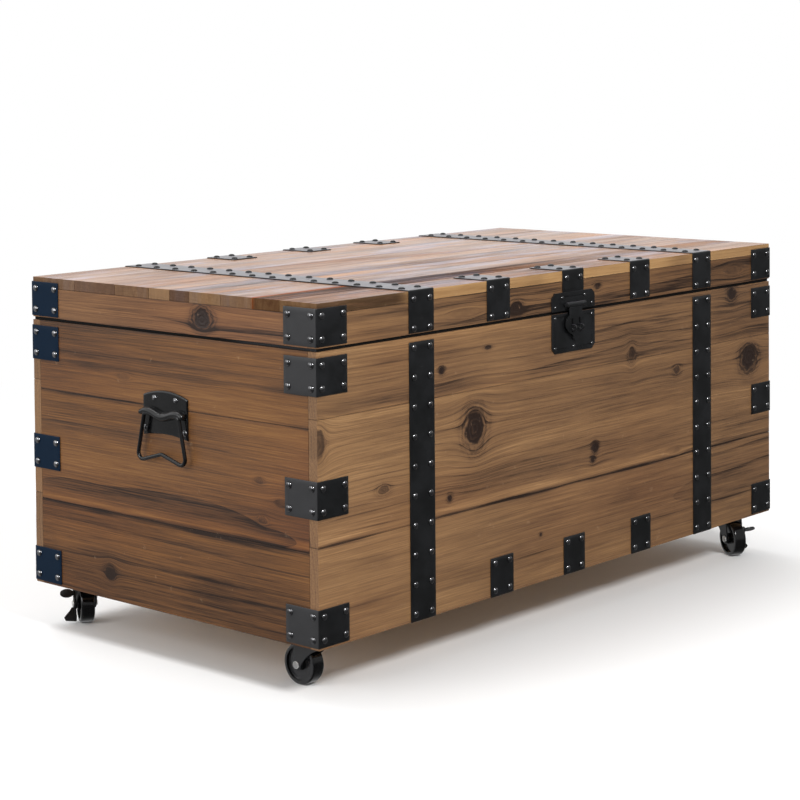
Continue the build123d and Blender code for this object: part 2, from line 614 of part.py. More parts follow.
def stay():
    """A folding stay on the right end: wall bracket, two arms, knee rivet and lid bracket."""
    axis_y, axis_z = HINGE_AXIS
    anchor = (axis_y + STAY_ANCHOR[0], axis_z + STAY_ANCHOR[1])
    lid_pivot = (axis_y + STAY_LID_PIVOT[0], axis_z + STAY_LID_PIVOT[1])
    knee = (anchor[0] + STAY_LID_PIVOT[0], anchor[1] + STAY_LID_PIVOT[1])
    lower_x = (INNER_X - STAY_PLATE - STAY_GAP - STAY_BAR, INNER_X - STAY_PLATE - STAY_GAP)
    upper_x = (lower_x[0] - STAY_GAP - STAY_BAR, lower_x[0] - STAY_GAP)
    plate_inner = INNER_X - STAY_PLATE

    def plate(at, screw_side):
        y, z = at
        wide, tall = STAY_PLATE_SIZE
        sheet = block((plate_inner, y - wide / 2, z - tall / 2), (INNER_X, y + wide / 2, z + tall / 2))
        for shift in (-1, 1):
            screw = rod_x(SCREW_SHANK + HOLE_CLEARANCE, plate_inner - 1, INNER_X + 1)
            sheet -= Pos(0, y + shift * wide / 3, z + screw_side * tall / 3) * screw
        return sheet

    def arm(start, end, span, start_hole, end_hole):
        length = math.dist(start, end)
        bar = SlotCenterToCenter(length, STAY_BAR_WIDTH)
        bar -= Pos(-length / 2, 0) * Circle(start_hole)
        bar -= Pos(length / 2, 0) * Circle(end_hole)
        tilt = math.degrees(math.atan2(end[1] - start[1], end[0] - start[0]))
        middle = ((start[0] + end[0]) / 2, (start[1] + end[1]) / 2)
        place = Plane(origin=(span[0], *middle), x_dir=(0, 1, 0), z_dir=(1, 0, 0))
        return place * Rot(0, 0, tilt) * extrude(bar, span[1] - span[0])

    running = STAY_PIN + RUNNING_CLEARANCE
    wall = plate(anchor, -1)
    wall += rod_x(STAY_PIN, lower_x[0] - STAY_GAP, plate_inner, *anchor)
    wall += rod_x(STAY_HEAD, lower_x[0] - STAY_GAP - STAY_HEAD_HEIGHT, lower_x[0] - STAY_GAP, *anchor)
    write("stay_wall_bracket", wall)
    write("stay_lower_arm", arm(anchor, knee, lower_x, running, STAY_PIN))
    write("stay_upper_arm", arm(knee, lid_pivot, upper_x, running, STAY_PIN + STAY_OPEN_CLEARANCE))
    knee_rivet = rod_x(STAY_PIN, upper_x[0] - STAY_GAP, lower_x[1], *knee)
    knee_rivet += rod_x(STAY_HEAD, upper_x[0] - STAY_GAP - STAY_HEAD_HEIGHT, upper_x[0] - STAY_GAP, *knee)
    knee_rivet += rod_x(STAY_HEAD, lower_x[1], lower_x[1] + STAY_KNEE_FOOT, *knee)
    write("stay_knee_rivet", knee_rivet)
    lid = plate(lid_pivot, 1)
    lid += rod_x(STAY_HEAD, lower_x[0], plate_inner, *lid_pivot)
    lid += rod_x(STAY_PIN, upper_x[0] - STAY_GAP, lower_x[0], *lid_pivot)
    lid += rod_x(STAY_HEAD, upper_x[0] - STAY_GAP - STAY_HEAD_HEIGHT, upper_x[0] - STAY_GAP, *lid_pivot)
    write("stay_lid_bracket", lid)
    return anchor, lid_pivot


def hinges_and_stay():
    """Two butt hinges on the back, the lid stay, and all their screws."""
    anchor, lid_pivot = stay()
    axis = FACES["back"] * Pos(0, GAP_MIDDLE, HINGE_OUT)
    body_leaves = []
    lid_leaves = []
    pins = []
    body_places = hinge_screw_places(-1)
    lid_places = hinge_screw_places(1)
    pin = rod_x(HINGE_PIN_RADIUS, -HINGE_WIDTH / 2, HINGE_WIDTH / 2)
    for side in (-1, 1):
        head = rod_x(HINGE_PIN_HEAD[0], HINGE_WIDTH / 2, HINGE_WIDTH / 2 + HINGE_PIN_HEAD[1])
        pin += head if side > 0 else Rot(0, 0, 180) * head
    hole = SCREW_SHANK + HOLE_CLEARANCE
    for x in HINGE_XS:
        place = axis * Pos(-x, 0, 0)
        body_leaves.append(drilled(place * hinge_leaf(-1, (0, 2, 4)), body_places, hole))
        lid_leaves.append(drilled(place * hinge_leaf(1, (1, 3)), lid_places, hole))
        pins.append(place * pin)
    write("hinge_body_leaves", *body_leaves)
    write("hinge_lid_leaves", *lid_leaves)
    write("hinge_pins", *pins)

    screw = dome_pin(SCREW_HEAD, SCREW_HEAD_HEIGHT, SCREW_SHANK, HINGE_LEAF + SCREW_DEPTH)
    stay_screw = dome_pin(SCREW_HEAD, SCREW_HEAD_HEIGHT, SCREW_SHANK, STAY_PLATE + SCREW_DEPTH)
    stay_screw = Rot(0, -90, 0) * stay_screw
    wide, tall = STAY_PLATE_SIZE

    def stay_screws(at, screw_side):
        y, z = at
        x = INNER_X - STAY_PLATE
        return [Pos(x, y + shift * wide / 3, z + screw_side * tall / 3) * stay_screw for shift in (-1, 1)]

    write("body_screws", *fasten(screw, body_places, HINGE_LEAF), *stay_screws(anchor, -1))
    write("lid_screws", *fasten(screw, lid_places, HINGE_LEAF), *stay_screws(lid_pivot, 1))


# ------------------------------------------------------------------ casters
# Each caster is drawn with its swivel axis on Z and its wheel trailing along +X, axle along Y.
CASTERS = {
    "front_left": ((-1, -1), 90.0, False),
    "back_left": ((-1, 1), 58.0, True),
    "front_right": ((1, -1), -119.2, True),
    "back_right": ((1, 1), 74.0, False),
}


def caster_wheel():
    """A solid wheel with dished faces and a hub longer than the rim is wide."""
    half = WHEEL_WIDTH / 2
    wheel = rod_y(WHEEL_RADIUS, -half, half)
    wheel = fillet(wheel.edges().filter_by(GeomType.CIRCLE), WHEEL_ROUNDING)
    for side in (-1, 1):
        face = (side * (half - WHEEL_RECESS), side * (half + 1))
        ring = rod_y(WHEEL_RIM_INNER, min(face), max(face)) - rod_y(HUB_RADIUS, min(face), max(face))
        wheel -= ring
    wheel += rod_y(HUB_RADIUS, -HUB_WIDTH / 2, HUB_WIDTH / 2)
    wheel -= rod_y(AXLE_RADIUS + RUNNING_CLEARANCE, -HUB_WIDTH, HUB_WIDTH)
    return Pos(TRAIL, 0, WHEEL_RADIUS) * wheel


def caster_fork():
    """A folded steel fork: a crown over the wheel and two tapered legs."""
    crown_low = CROWN_TOP - CROWN_THICKNESS
    outer = FORK_OUTER / 2
    foot = WHEEL_RADIUS
    lip = crown_low - LEG_LIP
    leg = make_face([
        Line((CROWN_FRONT, CROWN_TOP), (CROWN_BACK, CROWN_TOP)),
        Line((CROWN_BACK, CROWN_TOP), (TRAIL + FORK_BOSS, foot)),
        ThreePointArc((TRAIL + FORK_BOSS, foot), (TRAIL, foot - FORK_BOSS), (TRAIL - FORK_BOSS, foot)),
        ThreePointArc((TRAIL - FORK_BOSS, foot), LEG_WAIST, (CROWN_FRONT, lip)),
        Line((CROWN_FRONT, lip), (CROWN_FRONT, CROWN_TOP)),
    ])
    leg = Plane(origin=(0, 0, 0), x_dir=(1, 0, 0), z_dir=(0, -1, 0)) * leg
    inner = outer - FORK_STEEL
    legs = extrude(leg, outer, both=True)
    far_end = max(CROWN_BACK, TRAIL + FORK_BOSS) + 1
    legs -= block((CROWN_FRONT - 1, -inner, 0), (far_end, inner, CROWN_TOP))
    crown = block((CROWN_FRONT, -outer, crown_low), (CROWN_BACK, outer, CROWN_TOP))
    fork = legs + crown - rod(STEM_RADIUS + RUNNING_CLEARANCE, crown_low - 1, CROWN_TOP + 1)
    return fork - Pos(TRAIL, 0, foot) * rod_y(AXLE_RADIUS + HOLE_CLEARANCE, -outer - 1, outer + 1)


def caster_axle(braked):
    """A riveted axle; a braked caster's is longer, to hold the lever too."""
    outer = FORK_OUTER / 2
    far = outer + (LEVER_GAP * 2 + LEVER_STEEL if braked else 0)
    axle = rod_y(AXLE_RADIUS, -outer, far)
    axle += rod_y(AXLE_HEAD, -outer - AXLE_HEAD_HEIGHT, -outer)
    axle += rod_y(AXLE_HEAD, far, far + AXLE_HEAD_HEIGHT)
    ends = axle.edges().filter_by(GeomType.CIRCLE).sort_by(Axis.Y)
    axle = fillet([ends[0], ends[-1]], AXLE_HEAD_HEIGHT * 0.6)
    return Pos(TRAIL, 0, WHEEL_RADIUS) * axle


def brake_lever():
    """A rocker on the axle: an arm, a round pedal turned out at its top and a flared one at its foot."""
    inside = FORK_OUTER / 2 + LEVER_GAP
    side = Plane(origin=(0, inside, 0), x_dir=(-1, 0, 0), z_dir=(0, 1, 0))
    arm = Circle(LEVER_BOSS)
    for along, up in (LEVER_UP, LEVER_DOWN):
        arm += trace(Line((0, 0), (-along, up)), LEVER_ARM)
        arm += Pos(-along, up) * Circle(LEVER_ARM / 2)
    lever = extrude(side * arm, LEVER_STEEL)

    tilt = math.radians(PEDAL_TILT)
    normal = (-math.sin(tilt), 0, math.cos(tilt))
    top = Plane(origin=(LEVER_UP[0], inside, LEVER_UP[1]), x_dir=(0, 1, 0), z_dir=normal)
    pedal = Pos(PEDAL_REACH, 0) * Ellipse(*PEDAL_HALF)
    pedal += Pos(PEDAL_REACH / 2, 0) * Rectangle(PEDAL_REACH, PEDAL_NECK)
    lever += extrude(top * pedal, LEVER_STEEL / 2, both=True)

    reach = math.hypot(*LEVER_DOWN)
    down = Vector(LEVER_DOWN[0] / reach, 0, LEVER_DOWN[1] / reach)
    foot = Plane(origin=(0, inside, 0), x_dir=(0, 1, 0), z_dir=Vector(0, 1, 0).cross(down))
    flare = make_face(Polyline(*FLARE, close=True))
    flare = fillet(flare.vertices(), FLARE_ROUNDING)
    lever += extrude(foot * flare, LEVER_STEEL / 2, both=True)
    lever -= rod_y(AXLE_RADIUS + RUNNING_CLEARANCE, inside - 1, inside + LEVER_STEEL + 1)
    return Pos(TRAIL, 0, WHEEL_RADIUS) * lever


def caster_stem():
    """A plain stem in the corner block, with a collar above the fork and a head under it."""
    crown_low = CROWN_TOP - CROWN_THICKNESS
    head_top = crown_low - STEM_GAP
    head_low = head_top - STEM_HEAD_HEIGHT
    stem = rod(STEM_RADIUS, head_low, STEM_TOP)
    stem += rod(STEM_NECK, CROWN_TOP + STEM_GAP, BODY_BOTTOM)
    stem += rod(STEM_HEAD, head_low, head_top)
    return stem


def casters():
    stems = []
    for name, (sides, heading, braked) in CASTERS.items():
        x = sides[0] * (HALF_LENGTH - CASTER_INSET)
        y = sides[1] * (HALF_DEPTH - CASTER_INSET)
        place = Pos(x, y, 0) * Rot(0, 0, heading)
        stems.append(place * caster_stem())
        write(f"{name}_fork", place * caster_fork())
        write(f"{name}_wheel", place * caster_wheel())
        write(f"{name}_axle", place * caster_axle(braked))
        if braked:
            write(f"{name}_brake_lever", place * brake_lever())
    write("caster_stems", *stems)


os.makedirs("parts", exist_ok=True)
body_wood()
lid_wood()
body_steel()
lid_steel()
latch()
handles()
hinges_and_stay()
casters()
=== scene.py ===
import math

import bmesh
import bpy
import numpy as np
from mathutils import Euler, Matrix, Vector

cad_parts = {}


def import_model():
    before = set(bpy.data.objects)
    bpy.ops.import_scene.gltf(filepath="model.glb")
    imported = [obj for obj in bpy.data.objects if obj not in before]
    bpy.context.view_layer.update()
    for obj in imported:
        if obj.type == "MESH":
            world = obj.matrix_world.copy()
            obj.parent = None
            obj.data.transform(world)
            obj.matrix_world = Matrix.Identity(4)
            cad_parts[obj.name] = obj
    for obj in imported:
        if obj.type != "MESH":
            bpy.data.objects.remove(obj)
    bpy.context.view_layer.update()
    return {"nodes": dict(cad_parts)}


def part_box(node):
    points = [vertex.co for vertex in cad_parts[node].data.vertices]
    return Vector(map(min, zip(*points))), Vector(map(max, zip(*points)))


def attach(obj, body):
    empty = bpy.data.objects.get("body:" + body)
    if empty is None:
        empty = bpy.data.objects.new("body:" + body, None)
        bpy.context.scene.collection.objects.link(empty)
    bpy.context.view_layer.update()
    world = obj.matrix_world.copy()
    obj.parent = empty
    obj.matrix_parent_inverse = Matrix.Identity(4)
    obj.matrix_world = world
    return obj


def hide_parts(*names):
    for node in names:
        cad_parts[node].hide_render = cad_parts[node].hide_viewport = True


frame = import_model()

# Metres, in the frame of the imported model: +X along the chest, the front faces -Y, the floor is z = 0.
MM = 0.001
X, Y, Z = 0, 1, 2
RANDOM = np.random.default_rng(29)

BODY_LOW, BODY_HIGH = (np.array(corner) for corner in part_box("front_panel"))
CHEST_HALF_X = BODY_HIGH[X]
CHEST_HALF_Y = -BODY_LOW[Y]
LID_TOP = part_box("lid_top_boards")[1][Z]
BODY_BOTTOM = BODY_LOW[Z]
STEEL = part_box("front_straps")[1][Y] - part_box("front_straps")[0][Y]
WELD = 0.002 * MM


# ------------------------------------------------------------------ reading the frame
def solids(node, glued=None):
    """The lowest and highest corner of each solid of a node; boards glued along an axis are told apart."""
    mesh = bmesh.new()
    mesh.from_mesh(frame["nodes"][node].data)
    bmesh.ops.remove_doubles(mesh, verts=mesh.verts, dist=WELD)
    waiting = set(mesh.verts)
    boxes = []
    while waiting:
        stack = [waiting.pop()]
        points = []
        while stack:
            vertex = stack.pop()
            points.append(vertex.co)
            for edge in vertex.link_edges:
                other = edge.other_vert(vertex)
                if other in waiting:
                    waiting.remove(other)
                    stack.append(other)
        points = np.array(points)
        low, high = points.min(0), points.max(0)
        if glued is None:
            boxes.append((low, high))
            continue
        seams = np.unique(np.round(points[:, glued], 5))
        for seam, following in zip(seams, seams[1:]):
            board_low, board_high = low.copy(), high.copy()
            board_low[glued], board_high[glued] = seam, following
            boxes.append((board_low, board_high))
    mesh.free()
    return sorted(boxes, key=lambda box: tuple(np.round(box[0] + box[1], 4)))


# ------------------------------------------------------------------ noise for meshes
# Large primes that scatter the lattice's cells and seeds.
CELL_PRIMES = (374761393, 668265263, 1442695041)
SEED_PRIME = 9781
MIX_PRIME = 1274126177
WORD = 0xFFFFFFFF
HALF_WORD = 0xFFFF


def lattice(cells, seed):
    """A repeatable number from 0 to 1 for each lattice cell."""
    mixed = sum(cells[..., axis] * prime for axis, prime in enumerate(CELL_PRIMES)) + seed * SEED_PRIME
    mixed = (mixed ^ (mixed >> 13)) & WORD
    mixed = (mixed * MIX_PRIME) & WORD
    return ((mixed ^ (mixed >> 16)) & HALF_WORD) / HALF_WORD


def noise(points, size, seed=0):
    """Smooth value noise from -1 to 1; size is the length of one bump along each axis."""
    scaled = np.asarray(points, float) / np.asarray(size, float)
    cell = np.floor(scaled).astype(np.int64)
    part = scaled - cell
    part = part * part * (3 - 2 * part)
    total = np.zeros(len(scaled))
    for corner in np.ndindex(2, 2, 2):
        weight = np.prod(np.where(corner, part, 1 - part), axis=1)
        total += weight * lattice(cell + np.array(corner), seed)
    return total * 2 - 1


# ------------------------------------------------------------------ mesh building
# Steel sheet: rounded edges as a share of its thickness, bends, mesh length, and how far it strays from flat.
SHEET_EDGE = 0.42
SHEET_END = 0.35
BEND_RADIUS = 0.9 * MM
SHEET_STEP = 6 * MM
SHEET_LIFT = (0.10 * MM, 35 * MM)
SHEET_DENTS = (0.03 * MM, 14 * MM)


def add_mesh(name, points, faces, body, material, replaced=(), attributes=None):
    """A smooth-shaded piece from arrays, riding on a body and standing for CAD nodes."""
    mesh = bpy.data.meshes.new(name)
    mesh.from_pydata([tuple(p) for p in points], [], [tuple(int(i) for i in f) for f in faces])
    for key, values in (attributes or {}).items():
        attribute = mesh.attributes.new(key, "FLOAT", "POINT")
        attribute.data.foreach_set("value", np.asarray(values, np.float32))
    mesh.polygons.foreach_set("use_smooth", np.ones(len(mesh.polygons), bool))
    mesh.update()
    piece = bpy.data.objects.new(name, mesh)
    bpy.context.scene.collection.objects.link(piece)
    mesh.materials.append(material)
    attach(piece, body)
    if replaced:
        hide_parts(*replaced)
    return piece


class Heap:
    """Points and faces of several solids gathered into one mesh."""

    def __init__(self):
        self.points = []
        self.faces = []
        self.extra = {}
        self.count = 0

    def add(self, points, faces, **extra):
        self.points.append(np.asarray(points, float))
        self.faces += [[int(i) + self.count for i in face] for face in faces]
        for key, values in extra.items():
            self.extra.setdefault(key, []).append(np.broadcast_to(values, len(points)))
        self.count += len(points)

    def piece(self, name, body, material, slot, replaced=()):
        extra = {key: np.concatenate(values) for key, values in self.extra.items()}
        return add_mesh(name, np.concatenate(self.points), self.faces, body, material, replaced, extra)


def cuboid(xs, ys, zs):
    """The surface of a block cut by three sets of grid lines, as points and outward quads."""
    grid = np.stack(np.meshgrid(xs, ys, zs, indexing="ij"), -1)
    outside = np.zeros(grid.shape[:3], bool)
    outside[[0, -1], :, :] = True
    outside[:, [0, -1], :] = True
    outside[:, :, [0, -1]] = True
    ids = np.full(outside.shape, -1)
    ids[outside] = np.arange(outside.sum())
    quads = []
    for axis in range(3):
        for end in (0, -1):
            sheet = np.take(ids, end, axis)
            ring = [sheet[:-1, :-1], sheet[1:, :-1], sheet[1:, 1:], sheet[:-1, 1:]]
            found = np.stack(ring, -1).reshape(-1, 4)
            outward = (end == -1) != (axis == Y)
            quads.append(found if outward else found[:, ::-1])
    return grid[outside], np.concatenate(quads)


def grid_lines(low, high, radius, step):
    """Grid lines across a board: close together in its eased edges, then every step."""
    rim = radius * np.array([0.0, 0.35, 0.7])
    count = max(2, round((high - low - 2 * radius) / step) + 1)
    return np.concatenate([low + rim, np.linspace(low + radius, high - radius, count), high - rim[::-1]])


def rounded_section(width, thickness, step):
    """A flat bar's cross-section from 0 to thickness, as (across, out) points going round."""
    radius = thickness * SHEET_EDGE
    pieces = max(2, round(width / step))
    across = (np.arange(1, pieces) / pieces - 0.5) * (width - 2 * radius)
    turn = np.linspace(0, math.pi / 2, 4)
    right, top = width / 2 - radius, thickness - radius
    corners = [
        (right, radius, -math.pi / 2),
        (right, top, 0.0),
        (-right, top, math.pi / 2),
        (-right, radius, math.pi),
    ]
    loop = []
    for index, (x, y, start) in enumerate(corners):
        loop += [(x + radius * math.cos(start + t), y + radius * math.sin(start + t)) for t in turn]
        if index == 1:
            loop += [(x, thickness) for x in across[::-1]]
        if index == 3:
            loop += [(x, 0.0) for x in across]
    return np.array(loop)


def bent_path(corners, radius, step):
    """A polyline with rounded corners, cut into short lengths."""
    corners = np.array(corners, float)
    path = [corners[0]]
    for before, corner, after in zip(corners, corners[1:], corners[2:]):
        back = (before - corner) / np.linalg.norm(before - corner)
        on = (after - corner) / np.linalg.norm(after - corner)
        reach = radius / math.tan(math.acos(np.clip(back @ on, -1, 1)) / 2)
        start, end = corner + back * reach, corner + on * reach
        for t in np.linspace(0, 1, 6):
            path.append((1 - t) ** 2 * start + 2 * t * (1 - t) * corner + t * t * end)
    path.append(corners[-1])
    result = [path[0]]
    for a, b in zip(path, path[1:]):
        pieces = max(1, math.ceil(np.linalg.norm(b - a) / step))
        result += [a + (b - a) * (i + 1) / pieces for i in range(pieces)]
    return np.array(result)


def close_rings(rings):
    """Skins a stack of rings and closes both ends with a flat face."""
    count = len(rings[0])
    points = np.concatenate(rings)
    faces = []
    for k in range(len(rings) - 1):
        for i in range(count):
            j = (i + 1) % count
            faces.append((k * count + i, k * count + j, (k + 1) * count + j, (k + 1) * count + i))
    faces.append(tuple(range(count))[::-1])
    faces.append(tuple((len(rings) - 1) * count + i for i in range(count)))
    return points, faces


def sheet_strip(corners, width, across, inside, seed):
    """A steel strap bent along a path lying on the wood, with rounded edges and a slight unevenness."""
    path = bent_path(corners, BEND_RADIUS, SHEET_STEP)
    across = np.array(across, float)
    along = np.gradient(path, axis=0)
    along /= np.linalg.norm(along, axis=1, keepdims=True)
    out = np.cross(along, across)
    if np.sum((path - np.array(inside)) * out) < 0:
        out = -out
    section = rounded_section(width, STEEL, SHEET_STEP)
    if np.dot(np.cross(across, out[0]), along[0]) < 0:
        section = section[::-1]
    end = STEEL * SHEET_EDGE
    inset = section.copy()
    inset[:, 0] *= 1 - 2 * end / width
    inset[:, 1] = STEEL / 2 + (inset[:, 1] - STEEL / 2) * SHEET_END
    sections = [inset] + [section] * len(path) + [inset]
    first, last = path[:1], path[-1:]
    path = np.concatenate([first, first + along[:1] * end, path[1:-1], last - along[-1:] * end, last])
    out = np.concatenate([out[:1], out, out[-1:]])
    height, length = SHEET_LIFT
    lift = height * (1 + noise(path, (length,) * 3, seed))
    rings = []
    for p, n, s, rise in zip(path, out, sections, lift):
        ring = p + s[:, :1] * across + (s[:, 1:] + rise) * n
        rings.append(ring)
    points, faces = close_rings(rings)
    depth, length = SHEET_DENTS
    return points + noise(points, (length,) * 3, seed + 5)[:, None] * depth, faces


def lathe(profile, segments, wobble, seed):
    """Turns a profile of (radius, height) from the rim to the tip, closed underneath, about +Z."""
    angles = np.arange(segments) / segments * 2 * math.pi
    turned = np.stack([np.cos(angles), np.sin(angles)], -1)
    points = []
    for radius, height in profile:
        if radius > 0:
            points += [(radius * c, radius * s, height) for c, s in turned]
    rings = sum(1 for radius, _ in profile if radius > 0)
    points = np.array(points)
    points = points * (1 + wobble * noise(points, (HAMMER_MARK,) * 3, seed)[:, None])
    faces = []
    for k in range(rings - 1):
        for i in range(segments):
            j = (i + 1) % segments
            faces.append((k * segments + i, k * segments + j, (k + 1) * segments + j, (k + 1) * segments + i))
    faces.append(tuple(range(segments))[::-1])
    points = np.concatenate([points, [(0, 0, profile[-1][1])]])
    tip = len(points) - 1
    last = (rings - 1) * segments
    faces += [(last + i, last + (i + 1) % segments, tip) for i in range(segments)]
    return points, faces


def turn_to(points, direction, place, spin, tilt):
    """Stands a turned part on a surface: its +Z becomes the direction."""
    basis = Vector(direction).to_track_quat("Z", "Y").to_matrix() @ Euler((*tilt, spin)).to_matrix()
    return points @ np.array(basis).T + np.array(place)


# ------------------------------------------------------------------ shader arithmetic
class Wire:
    """A shader value; the usual operators add Math nodes to its tree."""

    def __init__(self, tree, socket):
        self.tree = tree
        self.socket = socket

    def math(self, operation, *others):
        return compute(self.tree, operation, self, *others)

    def __add__(self, other):
        return self.math("ADD", other)

    __radd__ = __add__

    def __sub__(self, other):
        return self.math("SUBTRACT", other)

    def __rsub__(self, other):
        return compute(self.tree, "SUBTRACT", other, self)

    def __mul__(self, other):
        return self.math("MULTIPLY", other)

    __rmul__ = __mul__

    def __truediv__(self, other):
        return self.math("DIVIDE", other)

    def __abs__(self):
        return self.math("ABSOLUTE")

    def root(self):
        return self.math("SQRT")

    def sine(self):
        return self.math("SINE")

    def power(self, exponent):
        return self.math("POWER", exponent)

    def part(self):
        return self.math("FRACT")

    def bell(self):
        """exp(-value squared)."""
        return compute(self.tree, "EXPONENT", self * self * -1.0)

    def ramp(self, low, high):
        """0 below low, 1 above high, smooth between."""
        node = self.tree.nodes.new("ShaderNodeMapRange")
        node.interpolation_type = "SMOOTHSTEP"
        node.inputs["From Min"].default_value = low
        node.inputs["From Max"].default_value = high
        self.tree.links.new(self.socket, node.inputs["Value"])
        return Wire(self.tree, node.outputs["Result"])


def plug(tree, slot, value):
    """Feeds an input with a Wire, a socket, a hex colour or a plain value."""
    if isinstance(value, Wire):
        value = value.socket
    if isinstance(value, bpy.types.NodeSocket):
        tree.links.new(value, slot)
    elif isinstance(value, str):
        slot.default_value = colour(value)
    else:
        slot.default_value = value


def compute(tree, operation, *values):
    node = tree.nodes.new("ShaderNodeMath")
    node.operation = operation
    for slot, value in zip(node.inputs, values):
        plug(tree, slot, value)
    return Wire(tree, node.outputs[0])


def texture(tree, place, detail=2.0, roughness=0.5):
    """Noise from 0 to 1 at three Wires."""
    combine = tree.nodes.new("ShaderNodeCombineXYZ")
    for slot, value in zip(combine.inputs, place):
        plug(tree, slot, value)
    node = tree.nodes.new("ShaderNodeTexNoise")
    node.inputs["Scale"].default_value = 1.0
    node.inputs["Detail"].default_value = detail
    node.inputs["Roughness"].default_value = roughness
    tree.links.new(combine.outputs[0], node.inputs["Vector"])
    return Wire(tree, node.outputs[0])


def object_place(tree):
    """The three rest coordinates and the rest normal, as Wires that follow the piece."""
    coordinates = tree.nodes.new("ShaderNodeTexCoord")
    result = []
    for output in ("Object", "Normal"):
        split = tree.nodes.new("ShaderNodeSeparateXYZ")
        tree.links.new(coordinates.outputs[output], split.inputs[0])
        result.append([Wire(tree, socket) for socket in split.outputs])
    return result


def attribute(tree, name):
    node = tree.nodes.new("ShaderNodeAttribute")
    node.attribute_name = name
    return Wire(tree, node.outputs["Fac"])


def colour(hexa):
    """Linear RGBA from a hex sRGB colour."""
    channels = [int(hexa[i:i + 2], 16) / 255 for i in (0, 2, 4)]
    return [c / 12.92 if c <= 0.04045 else ((c + 0.055) / 1.055) ** 2.4 for c in channels] + [1.0]


def colour_ramp(tree, value, stops):
    node = tree.nodes.new("ShaderNodeValToRGB")
    elements = node.color_ramp.elements
    while len(elements) < len(stops):
        elements.new(0.5)
    for element, (position, hexa) in zip(elements, stops):
        element.position = position
        element.color = colour(hexa)
    tree.links.new(value.socket, node.inputs[0])
    return node.outputs[0]


def mix(tree, share, first, second, blend="MIX"):
    """Mixes two colours; each is a socket or a hex string."""
    node = tree.nodes.new("ShaderNodeMix")
    node.data_type = "RGBA"
    node.blend_type = blend
    node.clamp_factor = True
    plug(tree, node.inputs[0], share)
    plug(tree, node.inputs[6], first)
    plug(tree, node.inputs[7], second)
    return node.outputs[2]


def new_material(name):
    material = bpy.data.materials.new(name)
    material.use_nodes = True
    tree = material.node_tree
    return material, tree, tree.nodes["Principled BSDF"]


def feed(tree, shader, **values):
    """Sets or links inputs of the shader by name, with _ for a space."""
    for name, value in values.items():
        plug(tree, shader.inputs[name.replace("_", " ")], value)


def bump(tree, shader, height, distance):
    node = tree.nodes.new("ShaderNodeBump")
    node.inputs["Distance"].default_value = distance
    node.inputs["Strength"].default_value = 1.0
    tree.links.new(height.socket, node.inputs["Height"])
    tree.links.new(node.outputs[0], shader.inputs["Normal"])


# ------------------------------------------------------------------ wood
# In the textures, a factor on a coordinate is roughly its bumps per metre. A term added to value moves the
# wood up or down its colour ramp, which runs from 0, darkest, to 1, palest.
RINGS_PER_METRE = 240.0
RING_WANDER = 0.008


# Knots are (along the grain, across it, half length, half width, depth of colour).
FRONT_KNOTS = (
    (-0.2095, 0.283, 0.0195, 0.0230, 1.0),
    (0.4415, 0.300, 0.0200, 0.0185, 1.0),
    (-0.4990, 0.302, 0.0120, 0.0200, 0.45),
    (0.3946, 0.400, 0.0110, 0.0100, 0.7),
    (0.1370, 0.337, 0.0080, 0.0125, 0.45),
    (0.2490, 0.304, 0.0090, 0.0060, 0.7),
    (0.0495, 0.221, 0.0065, 0.0075, 0.8),
    (0.0446, 0.206, 0.0055, 0.0050, 0.8),
    (-0.2739, 0.363, 0.0055, 0.0050, 0.9),
    (-0.1815, 0.382, 0.0080, 0.0030, 0.8),
    (-0.3845, 0.232, 0.0110, 0.0060, 0.7),
    (-0.2599, 0.202, 0.0050, 0.0045, 0.9),
    (0.2420, 0.190, 0.0160, 0.0050, 0.15),
    (-0.0730, 0.124, 0.0035, 0.0025, 0.8),
)
LID_FRONT_KNOTS = (
    (-0.1220, 0.428, 0.0120, 0.0070, 0.8),
    (0.4000, 0.435, 0.0240, 0.0080, 0.2),
    (0.0570, 0.440, 0.0080, 0.0050, 0.7),
    (-0.2300, 0.430, 0.0300, 0.0060, 0.1),
)
END_KNOTS = (
    (-0.1615, 0.249, 0.0075, 0.0042, 0.3),
    (-0.1665, 0.202, 0.0085, 0.0055, 0.4),
    (-0.1965, 0.226, 0.0100, 0.0050, 0.15),
    (0.1085, 0.096, 0.0100, 0.0100, 0.25),
    (0.0780, 0.350, 0.0130, 0.0045, 0.2),
)
LID_END_KNOTS = ((-0.0665, 0.435, 0.0150, 0.0120, 1.25),)

# Bands are (across the grain, half width, lightness), dark when negative.
FRONT_BANDS = (
    (0.337, 0.0060, -0.26), (0.326, 0.0050, 0.18), (0.1815, 0.0022, -0.62), (0.1880, 0.0045, 0.26),
    (0.214, 0.012, -0.16), (0.253, 0.010, 0.12), (0.369, 0.016, -0.12), (0.101, 0.0016, -0.30),
    (0.309, 0.009, -0.12), (0.3835, 0.0018, -0.25), (0.148, 0.012, -0.10),
)
LID_FRONT_BANDS = ((0.4425, 0.0035, -0.25), (0.4210, 0.0050, -0.18))
END_BANDS = (
    (0.1730, 0.0034, -0.55), (0.1800, 0.0040, 0.30), (0.3190, 0.0018, -0.40), (0.3600, 0.0030, -0.26),
    (0.3720, 0.0040, -0.20), (0.2600, 0.0300, 0.10), (0.2000, 0.0120, -0.08), (0.0950, 0.0300, -0.14),
)

